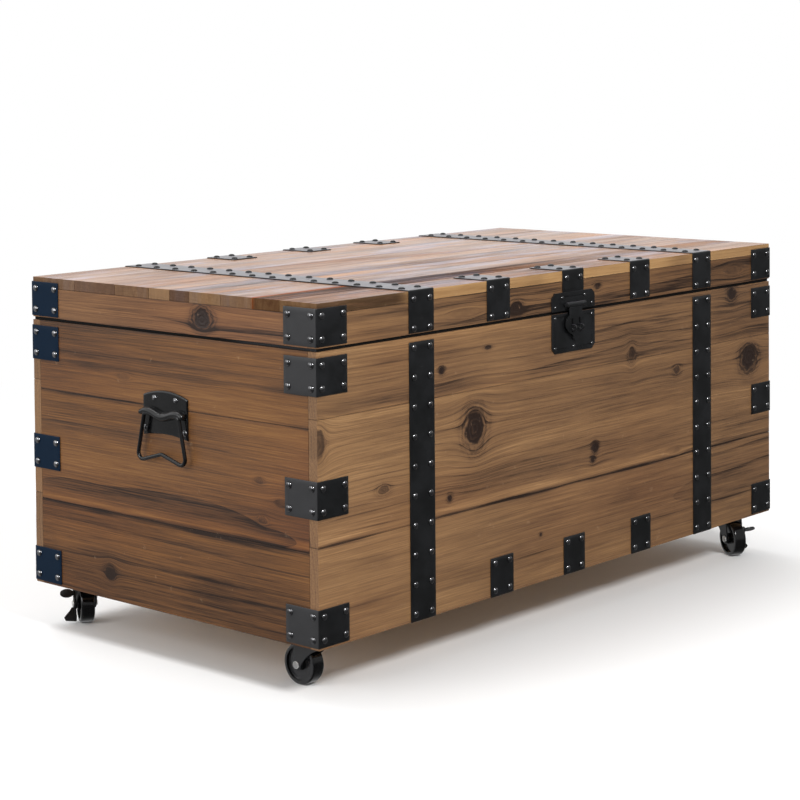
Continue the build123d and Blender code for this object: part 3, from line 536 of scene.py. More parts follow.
BROWN = (
    (0.00, "28190f"), (0.14, "4b3523"), (0.32, "684b31"), (0.50, "7a5939"), (0.68, "8a6742"),
    (0.86, "9c774e"), (1.00, "b48e61"),
)
RED_BROWN = (
    (0.00, "241409"), (0.14, "422a16"), (0.32, "5c3b1e"), (0.50, "6f4822"), (0.68, "7f562a"),
    (0.86, "8f6737"), (1.00, "a47d4a"),
)
LID_BROWN = (
    (0.00, "36241b"), (0.14, "5a4032"), (0.32, "7d5c48"), (0.50, "967259"), (0.68, "a88268"),
    (0.86, "b9967a"), (1.00, "ccad90"),
)
RAW = (
    (0.00, "7d6142"), (0.30, "a58560"), (0.50, "b8966e"), (0.75, "c8a880"), (1.00, "d6ba94"),
)


def grain_field(tree, along, across, knots):
    """Bends the across-grain coordinate round each knot; also gives knot, halo and ring Wires."""
    field = across
    core = None
    halo = None
    rings = None
    for place, level, half_length, half_width, depth in knots:
        du = (along - place) / half_length
        dv = (across - level) / half_width
        square = du * du + dv * dv
        fade = compute(tree, "EXPONENT", (du * du * 0.045 + dv * dv * 0.11) * -1.0)
        pull = compute(tree, "DIVIDE", 1.0, square.math("MAXIMUM", 1.0)) * fade
        field = field - (across - level) * pull
        radius = square.root()
        warp = texture(tree, (du * 1.1, dv * 1.1, place * 11), 3.0, 0.6)
        radius = radius + (warp - 0.5) * 0.70
        here = (1.0 - radius.ramp(0.62, 1.12)) * depth
        glow = (1.0 - radius.ramp(0.8, 2.4)) * depth
        ring = ((radius * 15.0 + warp * 5.0).sine() * 0.5 + 0.5) * (1.0 - radius.ramp(1.0, 2.0)) * depth
        core = here if core is None else core.math("MAXIMUM", here)
        halo = glow if halo is None else halo.math("MAXIMUM", glow)
        rings = ring if rings is None else rings.math("MAXIMUM", ring)
    return field, core, halo, rings


def late_wood(tree, along, field, deep, heart, seed):
    """The dark part of each growth ring round the board's heart, 0 to 1."""
    sway = texture(tree, (along * 2.1, seed * 3.1, 0.5), 2.0) - 0.5
    centre = heart + sway * 0.02
    pith = deep - 0.03 + sway * 0.004
    radius = ((field - centre) * (field - centre) + pith * pith).root()
    uneven = texture(tree, (along * 0.6, radius * 70.0, seed), 2.0)
    return (radius * RINGS_PER_METRE + uneven * 3.4).part().power(6.0)


def contour_veins(tree, along, field, seed):
    """Thin dark lines along three contours of a slow noise."""
    vein = texture(tree, (along * 0.9, field * 62.0, seed * 2.3), 3.0, 0.6)
    return ((vein - 0.5) / 0.030).bell() + ((vein - 0.60) / 0.022).bell() + ((vein - 0.40) / 0.022).bell()


def add_bands(tree, value, along, across, straight, bands):
    """Adds the long dark and pale bands, rippled and fading along their length."""
    ripple = (texture(tree, (along * 2.4, 0.3, 1.0), 3.0) - 0.5) * 0.005
    fade = texture(tree, (along * 5.0, across * 6.0, 2.0), 2.0).ramp(0.34, 0.62)
    for level, half_width, lightness in bands:
        band = ((straight + ripple - level) / (fade * half_width + half_width * 0.45)).bell()
        value = value + band * lightness * (0.35 + fade * 0.65)
    return value


def wood(name, axes, stops, knots=(), bands=(), drift=0.0, shine=0.34, figure=1.0, gloss=0.22, lid=False):
    """Stained softwood: growth rings round each board's heart, fibres, bands, knots, end grain, wear, and
    painted shade along each board's long edges.
    """
    material, tree, shader = new_material(name)
    place, normal = object_place(tree)
    along, across, deep = (place[axis] for axis in axes)
    seed = attribute(tree, "board")
    heart = attribute(tree, "heart")
    tone = attribute(tree, "tone")
    rim = attribute(tree, "rim")
    field, core, halo, rings = grain_field(tree, along, across, knots)

    straight = across * 0.8 + field * 0.2
    wander = texture(tree, (along * 1.3, field * 9.0, seed), 3.0, 0.5)
    field = field + (wander - 0.5) * RING_WANDER
    late = late_wood(tree, along, field, deep, heart, seed)
    veins = contour_veins(tree, along, field, seed)
    fibres = texture(tree, (along * 9.0, field * 620.0, deep * 200.0), 4.0, 0.8)
    streaks = texture(tree, (along * 1.7, field * 150.0, deep * 60.0 + seed), 6.0, 0.75)
    broad = texture(tree, (along * 0.9, field * 22.0, seed * 1.7), 3.0, 0.55)
    cloud = texture(tree, (along * 3.2, across * 5.5, seed * 0.37 + 4.0), 3.0, 0.5)
    lines_here = texture(tree, (along * 1.7, field * 13.0, seed + 8.0), 2.0).ramp(0.36, 0.62)

    if lid:
        tone = tone * (1.0 - (along + 0.10).ramp(0.0, 0.40) * 0.6)
    value = 0.565 + tone + (broad - 0.5) * 0.34 + (streaks - 0.5) * 0.46 + (fibres - 0.5) * 1.25
    value = value + (cloud - 0.5) * 0.46 - late * (0.05 + lines_here * 0.22) * figure + along * drift
    value = value - veins * (0.03 + lines_here * 0.10) * figure
    value = add_bands(tree, value, along, across, straight, bands)
    if knots:
        value = value - halo * 0.12 - rings * 0.24 - core * 0.30 - halo * late * 0.40

    ends = abs(normal[axes[0]]).ramp(0.55, 0.8)
    speckle = texture(tree, (along * 40.0, across * 420.0, deep * 420.0), 2.0, 0.6)
    end_value = 0.46 + tone * 1.3 + (speckle - 0.5) * 0.55 - late * 0.22 + (cloud - 0.5) * 0.4
    value = value * (1.0 - ends) + end_value * ends

    # Painted shade: each board is darkened along its long edges, most on the lid, in place of the shade in
    # the grooves between boards.
    painted_seam_shade = 1.0 - rim.ramp(0.25 * MM, 1.1 * MM)
    value = value - painted_seam_shade * (0.30 if lid else 0.14)
    nicks = texture(tree, (along * 60.0, across * 60.0, deep * 60.0), 3.0, 0.7)
    base = colour_ramp(tree, value, stops)
    hue = texture(tree, (along * 1.1, across * 3.0, seed + 2.0), 2.0)
    base = mix(tree, (hue - 0.5).ramp(0.0, 0.25) * 0.35, base, "7c6a58", "SOFT_LIGHT")
    base = mix(tree, (0.5 - hue).ramp(0.0, 0.25) * 0.40, base, "9a5a2a", "SOFT_LIGHT")
    if lid:
        base = lid_colours(tree, base, place, normal, seed, streaks)
    if knots:
        base = mix(tree, core.power(1.6) * 0.62, base, "24150f")
        crack = texture(tree, (along * 160.0, across * 70.0, 3.0), 3.0, 0.7).ramp(0.62, 0.70)
        base = mix(tree, crack * core * 0.8, base, "8a6a50")
    base = mix(tree, (nicks - 0.5).ramp(0.16, 0.26) * 0.10, base, "cdb08c")

    rough = shine + 0.12 + (streaks - 0.5) * 0.16 + (cloud - 0.5) * 0.14 + ends * 0.18
    feed(tree, shader, Base_Color=base, Roughness=rough, Specular_IOR_Level=(1.0 + tone * 2.0) * 0.42)
    worn = texture(tree, (along * 2.3, across * 14.0, seed + 6.0), 5.0, 0.7).ramp(0.36, 0.60)
    coat = (1.0 - ends) * gloss * (0.30 + worn * 0.70) * (1.0 + tone * 2.2)
    feed(tree, shader, Coat_Weight=coat, Coat_Roughness=shine)
    relief = fibres * 0.30 + streaks * 0.35 - late * 0.35
    if knots:
        relief = relief - core * (0.5 + rings * 0.8)
    bump(tree, shader, relief, 0.25 * MM)
    if lid:
        sheen = 0.80 + (worn - 0.5) * 0.20 + (streaks - 0.5) * 0.5 + (fibres - 0.5) * 0.5
        sheen = sheen + (cloud - 0.5) * 0.4 + tone.math("MINIMUM", 0.0) * 1.5
        bare_patches(tree, shader, base, sheen.ramp(0.0, 1.0))
    return material


CHIPPED_SEAM = -0.152
CHIP_WIDTH = 4.0 * MM


def lid_colours(tree, base, place, normal, seed, streaks):
    """Orange, pink and grey-violet patches on the lid, pale sapwood on its long edges, one chipped seam."""
    along, across, _ = place
    plain = base
    patch = texture(tree, (along * 3.4, across * 16.0, seed * 5.3), 5.0, 0.7)
    second = texture(tree, (along * 5.0, across * 30.0, seed * 3.7 + 9.0), 5.0, 0.75)
    base = mix(tree, (patch - 0.5).ramp(0.01, 0.12) * 0.70, base, "b98455", "COLOR")
    base = mix(tree, (0.5 - patch).ramp(0.00, 0.10) * 0.85, base, "94858c", "COLOR")
    base = mix(tree, (second - 0.5).ramp(0.00, 0.14) * 0.55, base, "ecd0b4", "SOFT_LIGHT")
    base = mix(tree, (0.5 - second).ramp(0.00, 0.14) * 0.55, base, "4a3830", "SOFT_LIGHT")
    ragged = texture(tree, (along * 14.0, across * 90.0, 0.0), 3.0)
    chips = ((across - CHIPPED_SEAM) / CHIP_WIDTH).bell() * ragged * (0.0 - along - 0.29).ramp(0.0, 0.06)
    base = mix(tree, chips.ramp(0.14, 0.34), base, "8f4312")
    base = mix(tree, (0.0 - normal[Z]).ramp(0.5, 0.8) * 0.85, base, plain)
    edge = abs(normal[Y]).ramp(0.6, 0.8)
    pale = (along + 0.36).ramp(0.0, 0.05) * texture(tree, (along * 3.0, 3.0, 0.0), 2.0).ramp(0.30, 0.45)
    sapwood = mix(tree, (streaks - 0.5) * 3.0 + 0.5, "83613d", "bb9464")
    base = mix(tree, edge * (0.15 + pale * 0.85), base, sapwood)
    block = texture(tree, (seed * 7.7, 0.5, 0.5), 1.0).ramp(0.35, 0.65)
    end_grain = mix(tree, block * 0.9 + (streaks - 0.5) * 1.2, "4c3320", "80613e")
    return mix(tree, abs(normal[X]).ramp(0.6, 0.8) * 0.85, base, end_grain)


def bare_patches(tree, shader, base, glazed):
    """Lets unglazed wood show through the sheen wherever glazed is low."""
    matt = tree.nodes.new("ShaderNodeBsdfDiffuse")
    blend = tree.nodes.new("ShaderNodeMixShader")
    tree.links.new(base, matt.inputs["Color"])
    tree.links.new(shader.inputs["Normal"].links[0].from_socket, matt.inputs["Normal"])
    tree.links.new(glazed.socket, blend.inputs[0])
    tree.links.new(matt.outputs[0], blend.inputs[1])
    tree.links.new(shader.outputs[0], blend.inputs[2])
    tree.links.new(blend.outputs[0], tree.nodes["Material Output"].inputs["Surface"])


GRAIN = {"front": (X, Z, Y), "end": (Y, Z, X), "top": (X, Y, Z), "batten": (Y, X, Z)}
# Boards: the eased edge, the mesh across the grain and along it, and how deep each kind of wear is.
EDGE = 0.8 * MM
GRID = 4.5 * MM
GRID_ALONG = 1.4
NICK_LENGTH = 23 * MM
PLANE_WAVE = (90 * MM, 0.16 * MM)
RAISED_GRAIN = (12 * MM, 160 * MM, 0.14 * MM)
KNOT_DIP = 0.45 * MM
KNOT_SWELL = 0.20 * MM


def boards(name, node, kind, body, slot, material, tones=(0.0,), knots=(), uneven=0.0):
    """Rebuilds a CAD node's boards with eased edges, planed waves, raised grain and dips at the knots."""
    axes = GRAIN[kind]
    heap = Heap()
    for index, (low, high) in enumerate(solids(node, axes[1])):
        seed = index + len(name)
        low[axes[0]] += uneven * RANDOM.random()
        high[axes[0]] -= uneven * RANDOM.random()
        steps = [GRID] * 3
        steps[axes[0]] = GRID * GRID_ALONG
        lines = [grid_lines(low[a], high[a], EDGE, steps[a]) for a in range(3)]
        points, quads = cuboid(*lines)
        nicked = EDGE * (0.62 + 0.38 * noise(points, (NICK_LENGTH,) * 3, seed))[:, None]
        inner = np.clip(points, low + nicked, high - nicked)
        outward = points - inner
        outward /= np.linalg.norm(outward, axis=1, keepdims=True)
        length, depth = PLANE_WAVE
        dip = depth * (0.5 + 0.5 * noise(points, (length,) * 3, seed + 3))
        width, length, depth = RAISED_GRAIN
        size = [width] * 3
        size[axes[0]] = length
        dip = dip + depth * (0.5 + 0.5 * noise(points, size, seed + 7))
        for place, level, half_length, half_width, depth in knots:
            distance = ((points[:, axes[0]] - place) / half_length) ** 2
            distance = distance + ((points[:, axes[1]] - level) / half_width) ** 2
            dip = dip + depth * (KNOT_DIP * np.exp(-distance) - KNOT_SWELL * np.exp(-distance / 6))
        rim = np.minimum(points[:, axes[1]] - low[axes[1]], high[axes[1]] - points[:, axes[1]])
        moved = inner + outward * nicked - outward * np.maximum(dip, 0)[:, None]
        tone = tones[index % len(tones)]
        shift = (high[axes[1]] - low[axes[1]]) * (RANDOM.random() - 0.5) * 1.9
        heart = (low[axes[1]] + high[axes[1]]) / 2 + shift
        heap.add(moved, quads, board=seed * 1.37, heart=heart, tone=tone, rim=rim)
    return heap.piece(name, body, material, slot, (node,))


# How much lighter or darker each board of a panel is, from the bottom up or from the front back.
BACK_TONES = (0.0, 0.06, -0.05)
LEFT_TONES = (-0.17, -0.09, -0.10)
RIGHT_TONES = (-0.14, -0.06, -0.12)
LID_TONES = (-0.19, -0.38, -0.06, -0.08, -0.14, -0.06, -0.10, -0.04, -0.08)
UNEVEN_ENDS = 0.9 * MM


def woodwork():
    """Every wooden piece; gives back the raw wood for the corner blocks."""
    front = wood("front_pine", GRAIN["front"], BROWN, FRONT_KNOTS, FRONT_BANDS, drift=-0.19)
    back = wood("back_pine", GRAIN["front"], BROWN, bands=((0.20, 0.004, -0.4), (0.35, 0.006, -0.3)))
    end = wood("end_pine", GRAIN["end"], RED_BROWN, END_KNOTS, END_BANDS, drift=-0.10)
    lid_front = wood("lid_front_pine", GRAIN["front"], BROWN, LID_FRONT_KNOTS, LID_FRONT_BANDS, figure=2.2)
    lid_end = wood("lid_end_pine", GRAIN["end"], BROWN, LID_END_KNOTS, figure=2.2)
    lid_top = wood("lid_top_pine", GRAIN["top"], LID_BROWN, shine=0.26, gloss=0.32, lid=True)
    raw_flat = wood("raw_pine_panel", GRAIN["top"], RAW)
    raw_cross = wood("raw_pine_batten", GRAIN["batten"], RAW)
    stain = "stained_pine"
    raw = "raw_pine"
    boards("front_boards", "front_panel", "front", "chest", stain, front, knots=FRONT_KNOTS)
    boards("back_boards", "back_panel", "front", "chest", stain, back, BACK_TONES)
    boards("left_end_boards", "left_end_panel", "end", "chest", stain, end, LEFT_TONES, END_KNOTS)
    boards("right_end_boards", "right_end_panel", "end", "chest", stain, end, RIGHT_TONES, END_KNOTS)
    boards("base_boards", "base_panel", "top", "chest", raw, raw_flat)
    boards("base_battens_wood", "base_battens", "batten", "chest", raw, raw_cross)
    knots = LID_FRONT_KNOTS
    boards("lid_front_rail_wood", "lid_front_rail", "front", "lid", stain, lid_front, (-0.07,), knots)
    boards("lid_back_rail_wood", "lid_back_rail", "front", "lid", stain, back)
    boards("lid_left_rail_wood", "lid_left_rail", "end", "lid", stain, lid_end, (-0.13,), LID_END_KNOTS)
    boards("lid_right_rail_wood", "lid_right_rail", "end", "lid", stain, lid_end, (-0.09,), LID_END_KNOTS)
    boards("lid_battens_wood", "lid_battens", "batten", "lid", raw, raw_cross)
    boards("lid_boards", "lid_top_boards", "top", "lid", "lid_boards", lid_top, LID_TONES, uneven=UNEVEN_ENDS)
    return raw_flat


# ------------------------------------------------------------------ metal, plastic and rubber
BACK_LEFT = (-0.38, 0.16)
NEAR_LEFT_Y = -0.10
MASK_EDGE = 0.05


def worn_metal(name, base, high, rough, metallic=0.0, grain=0.06, specular=0.5, coat=0.0, special=None):
    """Painted or plated steel with a cloudy tone, fine powder, faint scuffs and a painted reflection on
    faces that look left near the front.

    The special kinds are "blue_and_top_sheen", for the navy brackets of the back left corner and a painted
    sheen on faces that look up, and "painted_shade_tops", for nail heads with painted shade on their tops.
    """
    material, tree, shader = new_material(name)
    place, normal = object_place(tree)
    x, y, z = place
    cloud = texture(tree, (x * 28.0, y * 28.0, z * 28.0), 4.0, 0.6)
    powder = texture(tree, (x * 2600.0, y * 2600.0, z * 2600.0), 2.0, 0.6)
    scuffs = texture(tree, (x * 90.0, y * 90.0, z * 420.0), 4.0, 0.7)
    paint = mix(tree, cloud.ramp(0.35, 0.70), base, high)
    if special == "blue_and_top_sheen":
        back_left = (BACK_LEFT[X] - x).ramp(0.0, MASK_EDGE) * (y - BACK_LEFT[Y]).ramp(0.0, MASK_EDGE)
        back_left = back_left * (z - BODY_BOTTOM).ramp(0.0, 1.0 * MM)
        paint = mix(tree, back_left * 0.90, paint, "0c1e30")
        specular = specular - back_left * 0.42
        # Painted reflection: faces that look up are lightened towards lilac grey, as the sheen of the bright
        # sky behind the chest. It sits in this special kind, so all the black steel gets it.
        paint = mix(tree, normal[Z].ramp(0.85, 0.97) * 0.60, paint, "625e66")
    paint = mix(tree, scuffs.ramp(0.66, 0.80) * 0.35, paint, "6a6a68")
    # Painted reflection: faces that look left, towards the front, are lightened towards grey, as the bright
    # room on the left mirrored in them. Every metal material gets it.
    painted_left_reflection = (0.0 - normal[X]).ramp(0.75, 0.95) * (NEAR_LEFT_Y - y).ramp(0.0, MASK_EDGE)
    paint = mix(tree, painted_left_reflection * 0.60, paint, "303032")
    rough = rough + (cloud - 0.5) * 0.16 + (scuffs - 0.5) * 0.10
    if special == "painted_shade_tops":
        # Painted shade: the parts of the heads that look up, and every head above the lid's top, are painted
        # near black and given less shine, in place of the bright sky they would mirror.
        painted_top_shade = normal[Z].ramp(0.50, 0.66).math("MAXIMUM", (z - LID_TOP).ramp(0.0, 0.4 * MM))
        paint = mix(tree, painted_top_shade * 0.95, paint, "070707")
        metallic = metallic - painted_top_shade * 0.95
        rough = rough + painted_top_shade * 0.20
        specular = specular - painted_top_shade * 0.25
    feed(tree, shader, Base_Color=paint, Metallic=metallic, Specular_IOR_Level=specular, Coat_Weight=coat)
    feed(tree, shader, Roughness=rough, Coat_Roughness=0.08)
    bump(tree, shader, powder * 0.6 + cloud * 2.0, grain * MM)
    return material


def metals():
    return {
        "black_steel": worn_metal("black_steel", "0d0e0f", "17181a", 0.36, special="blue_and_top_sheen"),
        "nail_black": worn_metal("nail_black", "7c7c7e", "98989a", 0.18, 1.0, 0.01, special="painted_shade_tops"),
        "black_enamel": worn_metal("black_enamel", "070708", "101011", 0.16, grain=0.02, specular=0.5),
        "dark_zinc": worn_metal("dark_zinc", "4a4b4c", "66686a", 0.36, metallic=0.9),
        "wheel_plastic": worn_metal("wheel_plastic", "060607", "0d0d0e", 0.16, grain=0.01, coat=0.4),
        "axle_steel": worn_metal("axle_steel", "d6d6d4", "e6e6e4", 0.30, metallic=0.4, grain=0.02),
        "seal_rubber": worn_metal("seal_rubber", "060606", "0c0c0c", 0.8, grain=0.10, specular=0.2),
    }


STRAP_NODES = ("front_straps", "back_straps", "base_tabs")


def straps(steel):
    """Straight straps, straps bent over the lid and brackets bent round the corners."""
    middle = np.array((0.0, 0.0, (LID_TOP + BODY_BOTTOM) / 2))
    for node in STRAP_NODES:
        heap = Heap()
        for index, (low, high) in enumerate(solids(node)):
            x = (low[X] + high[X]) / 2
            face = math.copysign(CHEST_HALF_Y, low[Y])
            corners = ((x, face, low[Z]), (x, face, high[Z]))
            heap.add(*sheet_strip(corners, high[X] - low[X], (1, 0, 0), middle, index * 11))
        heap.piece(node + "_sheet", "chest", steel, "black_steel", (node,))
    for node in ("lid_straps", "lid_tabs"):
        heap = Heap()
        for index, (low, high) in enumerate(solids(node)):
            x = (low[X] + high[X]) / 2
            corners = []
            if low[Y] < -CHEST_HALF_Y:
                corners += [(x, -CHEST_HALF_Y, low[Z]), (x, -CHEST_HALF_Y, LID_TOP)]
            else:
                corners.append((x, low[Y], LID_TOP))
            if high[Y] > CHEST_HALF_Y:
                corners += [(x, CHEST_HALF_Y, LID_TOP), (x, CHEST_HALF_Y, low[Z])]
            else:
                corners.append((x, high[Y], LID_TOP))
            heap.add(*sheet_strip(corners, high[X] - low[X], (1, 0, 0), middle, index * 13 + 3))
        heap.piece(node + "_sheet", "lid", steel, "black_steel", (node,))
    for node, body in (("body_corner_brackets", "chest"), ("lid_corner_brackets", "lid")):
        heap = Heap()
        for index, (low, high) in enumerate(solids(node)):
            z = (low[Z] + high[Z]) / 2
            x_out = math.copysign(CHEST_HALF_X, low[X])
            y_out = math.copysign(CHEST_HALF_Y, low[Y])
            x_in = high[X] if x_out < 0 else low[X]
            y_in = high[Y] if y_out < 0 else low[Y]
            corners = ((x_in, y_out, z), (x_out, y_out, z), (x_out, y_in, z))
            centre = (0.0, 0.0, z)
            heap.add(*sheet_strip(corners, high[Z] - low[Z], (0, 0, 1), centre, index * 7 + 5))
        heap.piece(node + "_sheet", body, steel, "black_steel", (node,))


# Heads as (radius, height) from the rim to the tip, in millimetres.
NAIL = ((4.5, 0.0), (4.5, 0.45), (4.2, 1.15), (3.45, 1.85), (2.3, 2.35), (1.1, 2.56), (0.0, 2.6))
RIVET = ((4.0, 0.0), (4.0, 0.5), (3.6, 0.9), (2.9, 1.0), (2.7, 1.5), (2.0, 2.0), (0.9, 2.2), (0.0, 2.2))
SMALL_RIVET = ((2.6, 0.0), (2.55, 0.3), (2.2, 0.8), (1.5, 1.15), (0.7, 1.28), (0.0, 1.3))
HEAD_SEGMENTS = 18
HEAD_TILT = 0.035
HAMMER_MARK = 2.2 * MM
HAMMERING = 0.02
HEAD_SINK = 0.08 * MM


def outward_face(low, high):
    """The face of the chest that a fastener's box stands furthest out of: its axis and side."""
    centre = (low + high) / 2
    faces = (CHEST_HALF_X, CHEST_HALF_Y, LID_TOP)
    reach = []
    for axis, face in enumerate(faces):
        outermost = high[axis] if centre[axis] > 0 or axis == Z else -low[axis]
        reach.append((outermost - face, axis))
    axis = max(reach)[1]
    side = 1.0 if axis == Z else math.copysign(1.0, centre[axis])
    return axis, side


def fasteners(name, node, body, profile, material):
    """Hammered heads standing where the CAD fasteners are, each turned and tilted its own way."""
    heap = Heap()
    profile = [(r * MM, h * MM) for r, h in profile]
    height = profile[-1][1]
    for index, (low, high) in enumerate(solids(node)):
        axis, side = outward_face(low, high)
        outermost = high[axis] if side > 0 else low[axis]
        direction = np.zeros(3)
        direction[axis] = side
        place = (low + high) / 2
        place[axis] = outermost - side * (height + HEAD_SINK)
        points, faces = lathe(profile, HEAD_SEGMENTS, HAMMERING, index)
        tilt = RANDOM.uniform(-HEAD_TILT, HEAD_TILT, 2)
        points = turn_to(points, direction, place, RANDOM.uniform(0, math.pi), tilt)
        heap.add(points, faces)
    heap.piece(name, body, material, "nail_black", (node,))


HANDLE_SHEET = 1.8 * MM
HANDLE_HOLLOW = 4.0 * MM
HANDLE_ARCH = 7.5 * MM
HANDLE_CROWN = 0.5 * MM
HANDLE_CHAMFER = 0.5 * MM
HANDLE_GRID = (33, 25)
RIDGE_WAVE = 3.0 * MM
RIDGE_HALF = 5.6 * MM
RIDGE_SKIN = 1.2 * MM
RIDGE_REACH = 38.5 * MM
RIDGE_LIP = 0.35 * MM
RIDGE_GRID = (49, 15)


def pressed_plate(low, high):
    """A handle's back plate, arched above and hollow below, as (across, up, out) points and faces."""
    half = high[Y]
    s = np.linspace(-1, 1, HANDLE_GRID[0])
    t = np.linspace(0, 1, HANDLE_GRID[1])
    bulge = 1 - s * s
    bottom = low[Z] + HANDLE_HOLLOW * bulge
    top = high[Z] - HANDLE_ARCH * (1 - bulge)
    across, rise = np.meshgrid(s * half, t, indexing="ij")
    up = bottom[:, None] * (1 - rise) + top[:, None] * rise
    middle = (bottom + top)[:, None] / 2
    sheet = HANDLE_SHEET + HANDLE_CROWN * (1 - (across / half) ** 2)
    layers = []
    for out, inset in ((0.0, 0.0), (0.65, 0.0), (1.0, HANDLE_CHAMFER)):
        shrink = 1 - inset / half
        layer = np.stack([across * shrink, middle + (up - middle) * shrink, out * sheet], -1)
        layers.append(layer.reshape(-1, 3))
    count = len(layers[0])
    ids = np.arange(count).reshape(HANDLE_GRID)
    front = np.stack([ids[:-1, :-1], ids[1:, :-1], ids[1:, 1:], ids[:-1, 1:]], -1).reshape(-1, 4)
    faces = [tuple(face + 2 * count) for face in front] + [tuple(face[::-1]) for face in front]
    rim = np.concatenate([ids[:, 0], ids[-1, 1:], ids[-2::-1, -1], ids[0, -2:0:-1]])
    for start in (0, count):
        for a, b in zip(rim + start, np.roll(rim, -1) + start):
            faces.append((a, b, b + count, a + count))
    return np.concatenate(layers), faces


def rolled_ridge(axis_up, axis_out, wire):
    """The wavy ridge rolled round a handle's bail, as rings of (across, up, out) points."""
    turns = np.linspace(-math.pi / 2, math.pi / 2, RIDGE_GRID[1])
    lip = RIDGE_LIP * np.exp(-((turns - 1.0) / 0.25) ** 2) + RIDGE_LIP * np.exp(-((turns + 0.9) / 0.25) ** 2)
    start = HANDLE_SHEET * 0.5
    rings = []
    for u in np.linspace(-1, 1, RIDGE_GRID[0]):
        wave = RIDGE_WAVE * math.cos(u * 1.42 * math.pi) * (-1.0 if abs(u) < 0.9 else -0.6)
        taper = 1 - 0.30 * abs(u) ** 3
        depth = axis_out + wire + RIDGE_SKIN * taper
        up = axis_up + wave + RIDGE_HALF * taper * np.sin(turns)
        out = start + (depth - start) * np.abs(np.cos(turns)) ** 0.62 + lip
        rings.append(np.stack([np.full(len(turns), u * RIDGE_REACH), up, out], -1))
    return rings


def handles(steel):
    """Each end's pressed plate with the ridge that holds the bail."""
    for side, name in ((-1, "left"), (1, "right")):
        bail_low, bail_high = (np.array(corner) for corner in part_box(name + "_handle_bail"))
        wire = (bail_high[X] - bail_low[X]) / 2
        axis_out = abs(bail_high[X] + bail_low[X]) / 2 - CHEST_HALF_X

        def stand(local):
            """From (across, up, out) on the end panel to the chest's frame."""
            return np.stack([side * (CHEST_HALF_X + local[:, 2]), local[:, 0] * side, local[:, 1]], -1)

        heap = Heap()
        points, faces = pressed_plate(*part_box(name + "_handle_plate"))
        heap.add(stand(points), faces)
        heap.add(*close_rings([stand(ring) for ring in rolled_ridge(bail_high[Z] - wire, axis_out, wire)]))
        piece = heap.piece(name + "_handle_sheet", "chest", steel, "black_steel", (name + "_handle_plate",))
        tidy_normals(piece)


def tidy_normals(piece):
    """Turns every face outwards."""
    mesh = bmesh.new()
    mesh.from_mesh(piece.data)
    bmesh.ops.recalc_face_normals(mesh, faces=mesh.faces)
    mesh.to_mesh(piece.data)
    mesh.free()


# ------------------------------------------------------------------ carried-over CAD nodes
CAD_EDGE = 0.25 * MM
BLOCK_EDGE = 1.0 * MM


def soften(node, material, width):
    """Keeps a CAD node and gives it a material and small rounded edges."""
    piece = frame["nodes"][node]
    piece.data.materials.clear()
    piece.data.materials.append(material)
    piece.data.polygons.foreach_set("use_smooth", np.ones(len(piece.data.polygons), bool))
    weld = piece.modifiers.new("weld", "WELD")
    weld.merge_threshold = WELD
    if width:
        bevel = piece.modifiers.new("edges", "BEVEL")
        bevel.width = width
        bevel.segments = 2
        bevel.limit_method = "ANGLE"
        bevel.angle_limit = math.radians(40)
    piece.modifiers.new("normals", "WEIGHTED_NORMAL")


# ------------------------------------------------------------------ stage
PHOTO_FOCAL = 2083.3
PHOTO_SIDE = 800
CAMERA_PLACE = (-2.2474, -1.8931, 0.7428)
CAMERA_TURN = (87.8291, 0.5354, -47.4432)
LENS_SHIFT = (0.0819, -0.3214)
SENSOR = 36.0
CLIP = (0.05, 60.0)


def camera():
    """The photograph's viewpoint. Its lens shift belongs to that place alone and is off anywhere else."""
    data = bpy.data.cameras.new("camera")
    data.sensor_width = SENSOR
    data.lens = PHOTO_FOCAL / PHOTO_SIDE * SENSOR
    data.clip_start, data.clip_end = CLIP
    eye = bpy.data.objects.new("camera", data)
    bpy.context.scene.collection.objects.link(eye)
    eye.location = CAMERA_PLACE
    eye.rotation_euler = [math.radians(angle) for angle in CAMERA_TURN]
    for channel, shift in zip(("shift_x", "shift_y"), LENS_SHIFT):
        driver = data.driver_add(channel).driver
        variable = driver.variables.new()
        variable.name = "x"
        variable.type = "TRANSFORMS"
        variable.targets[0].id = eye
        variable.targets[0].transform_type = "LOC_X"
        driver.expression = f"{shift} if abs(x - {CAMERA_PLACE[0]}) < 0.0001 else 0.0"
    bpy.context.scene.camera = eye


KEY_TARGET = (0.0, 0.0, 0.25)
LIGHTS = (
    ("key", (-0.9, -2.8, 2.6), (0.8, 0.8), 92.0),
    ("left", (-3.2, 0.6, 1.5), (1.6, 1.6), 36.0),
    ("top", (0.3, 0.8, 3.0), (2.4, 1.6), 30.0),
)


def area_light(name, place, size, power):
    """A soft box aimed at the chest."""
    data = bpy.data.lights.new(name, "AREA")
    data.shape = "RECTANGLE"
    data.size, data.size_y = size
    data.energy = power
    lamp = bpy.data.objects.new(name, data)
    bpy.context.scene.collection.objects.link(lamp)
    lamp.location = place
    lamp.rotation_euler = (Vector(KEY_TARGET) - Vector(place)).to_track_quat("-Z", "Y").to_euler()


FLOOR_HALF = 30.0
FLOOR_FADE = (0.75, 2.1)


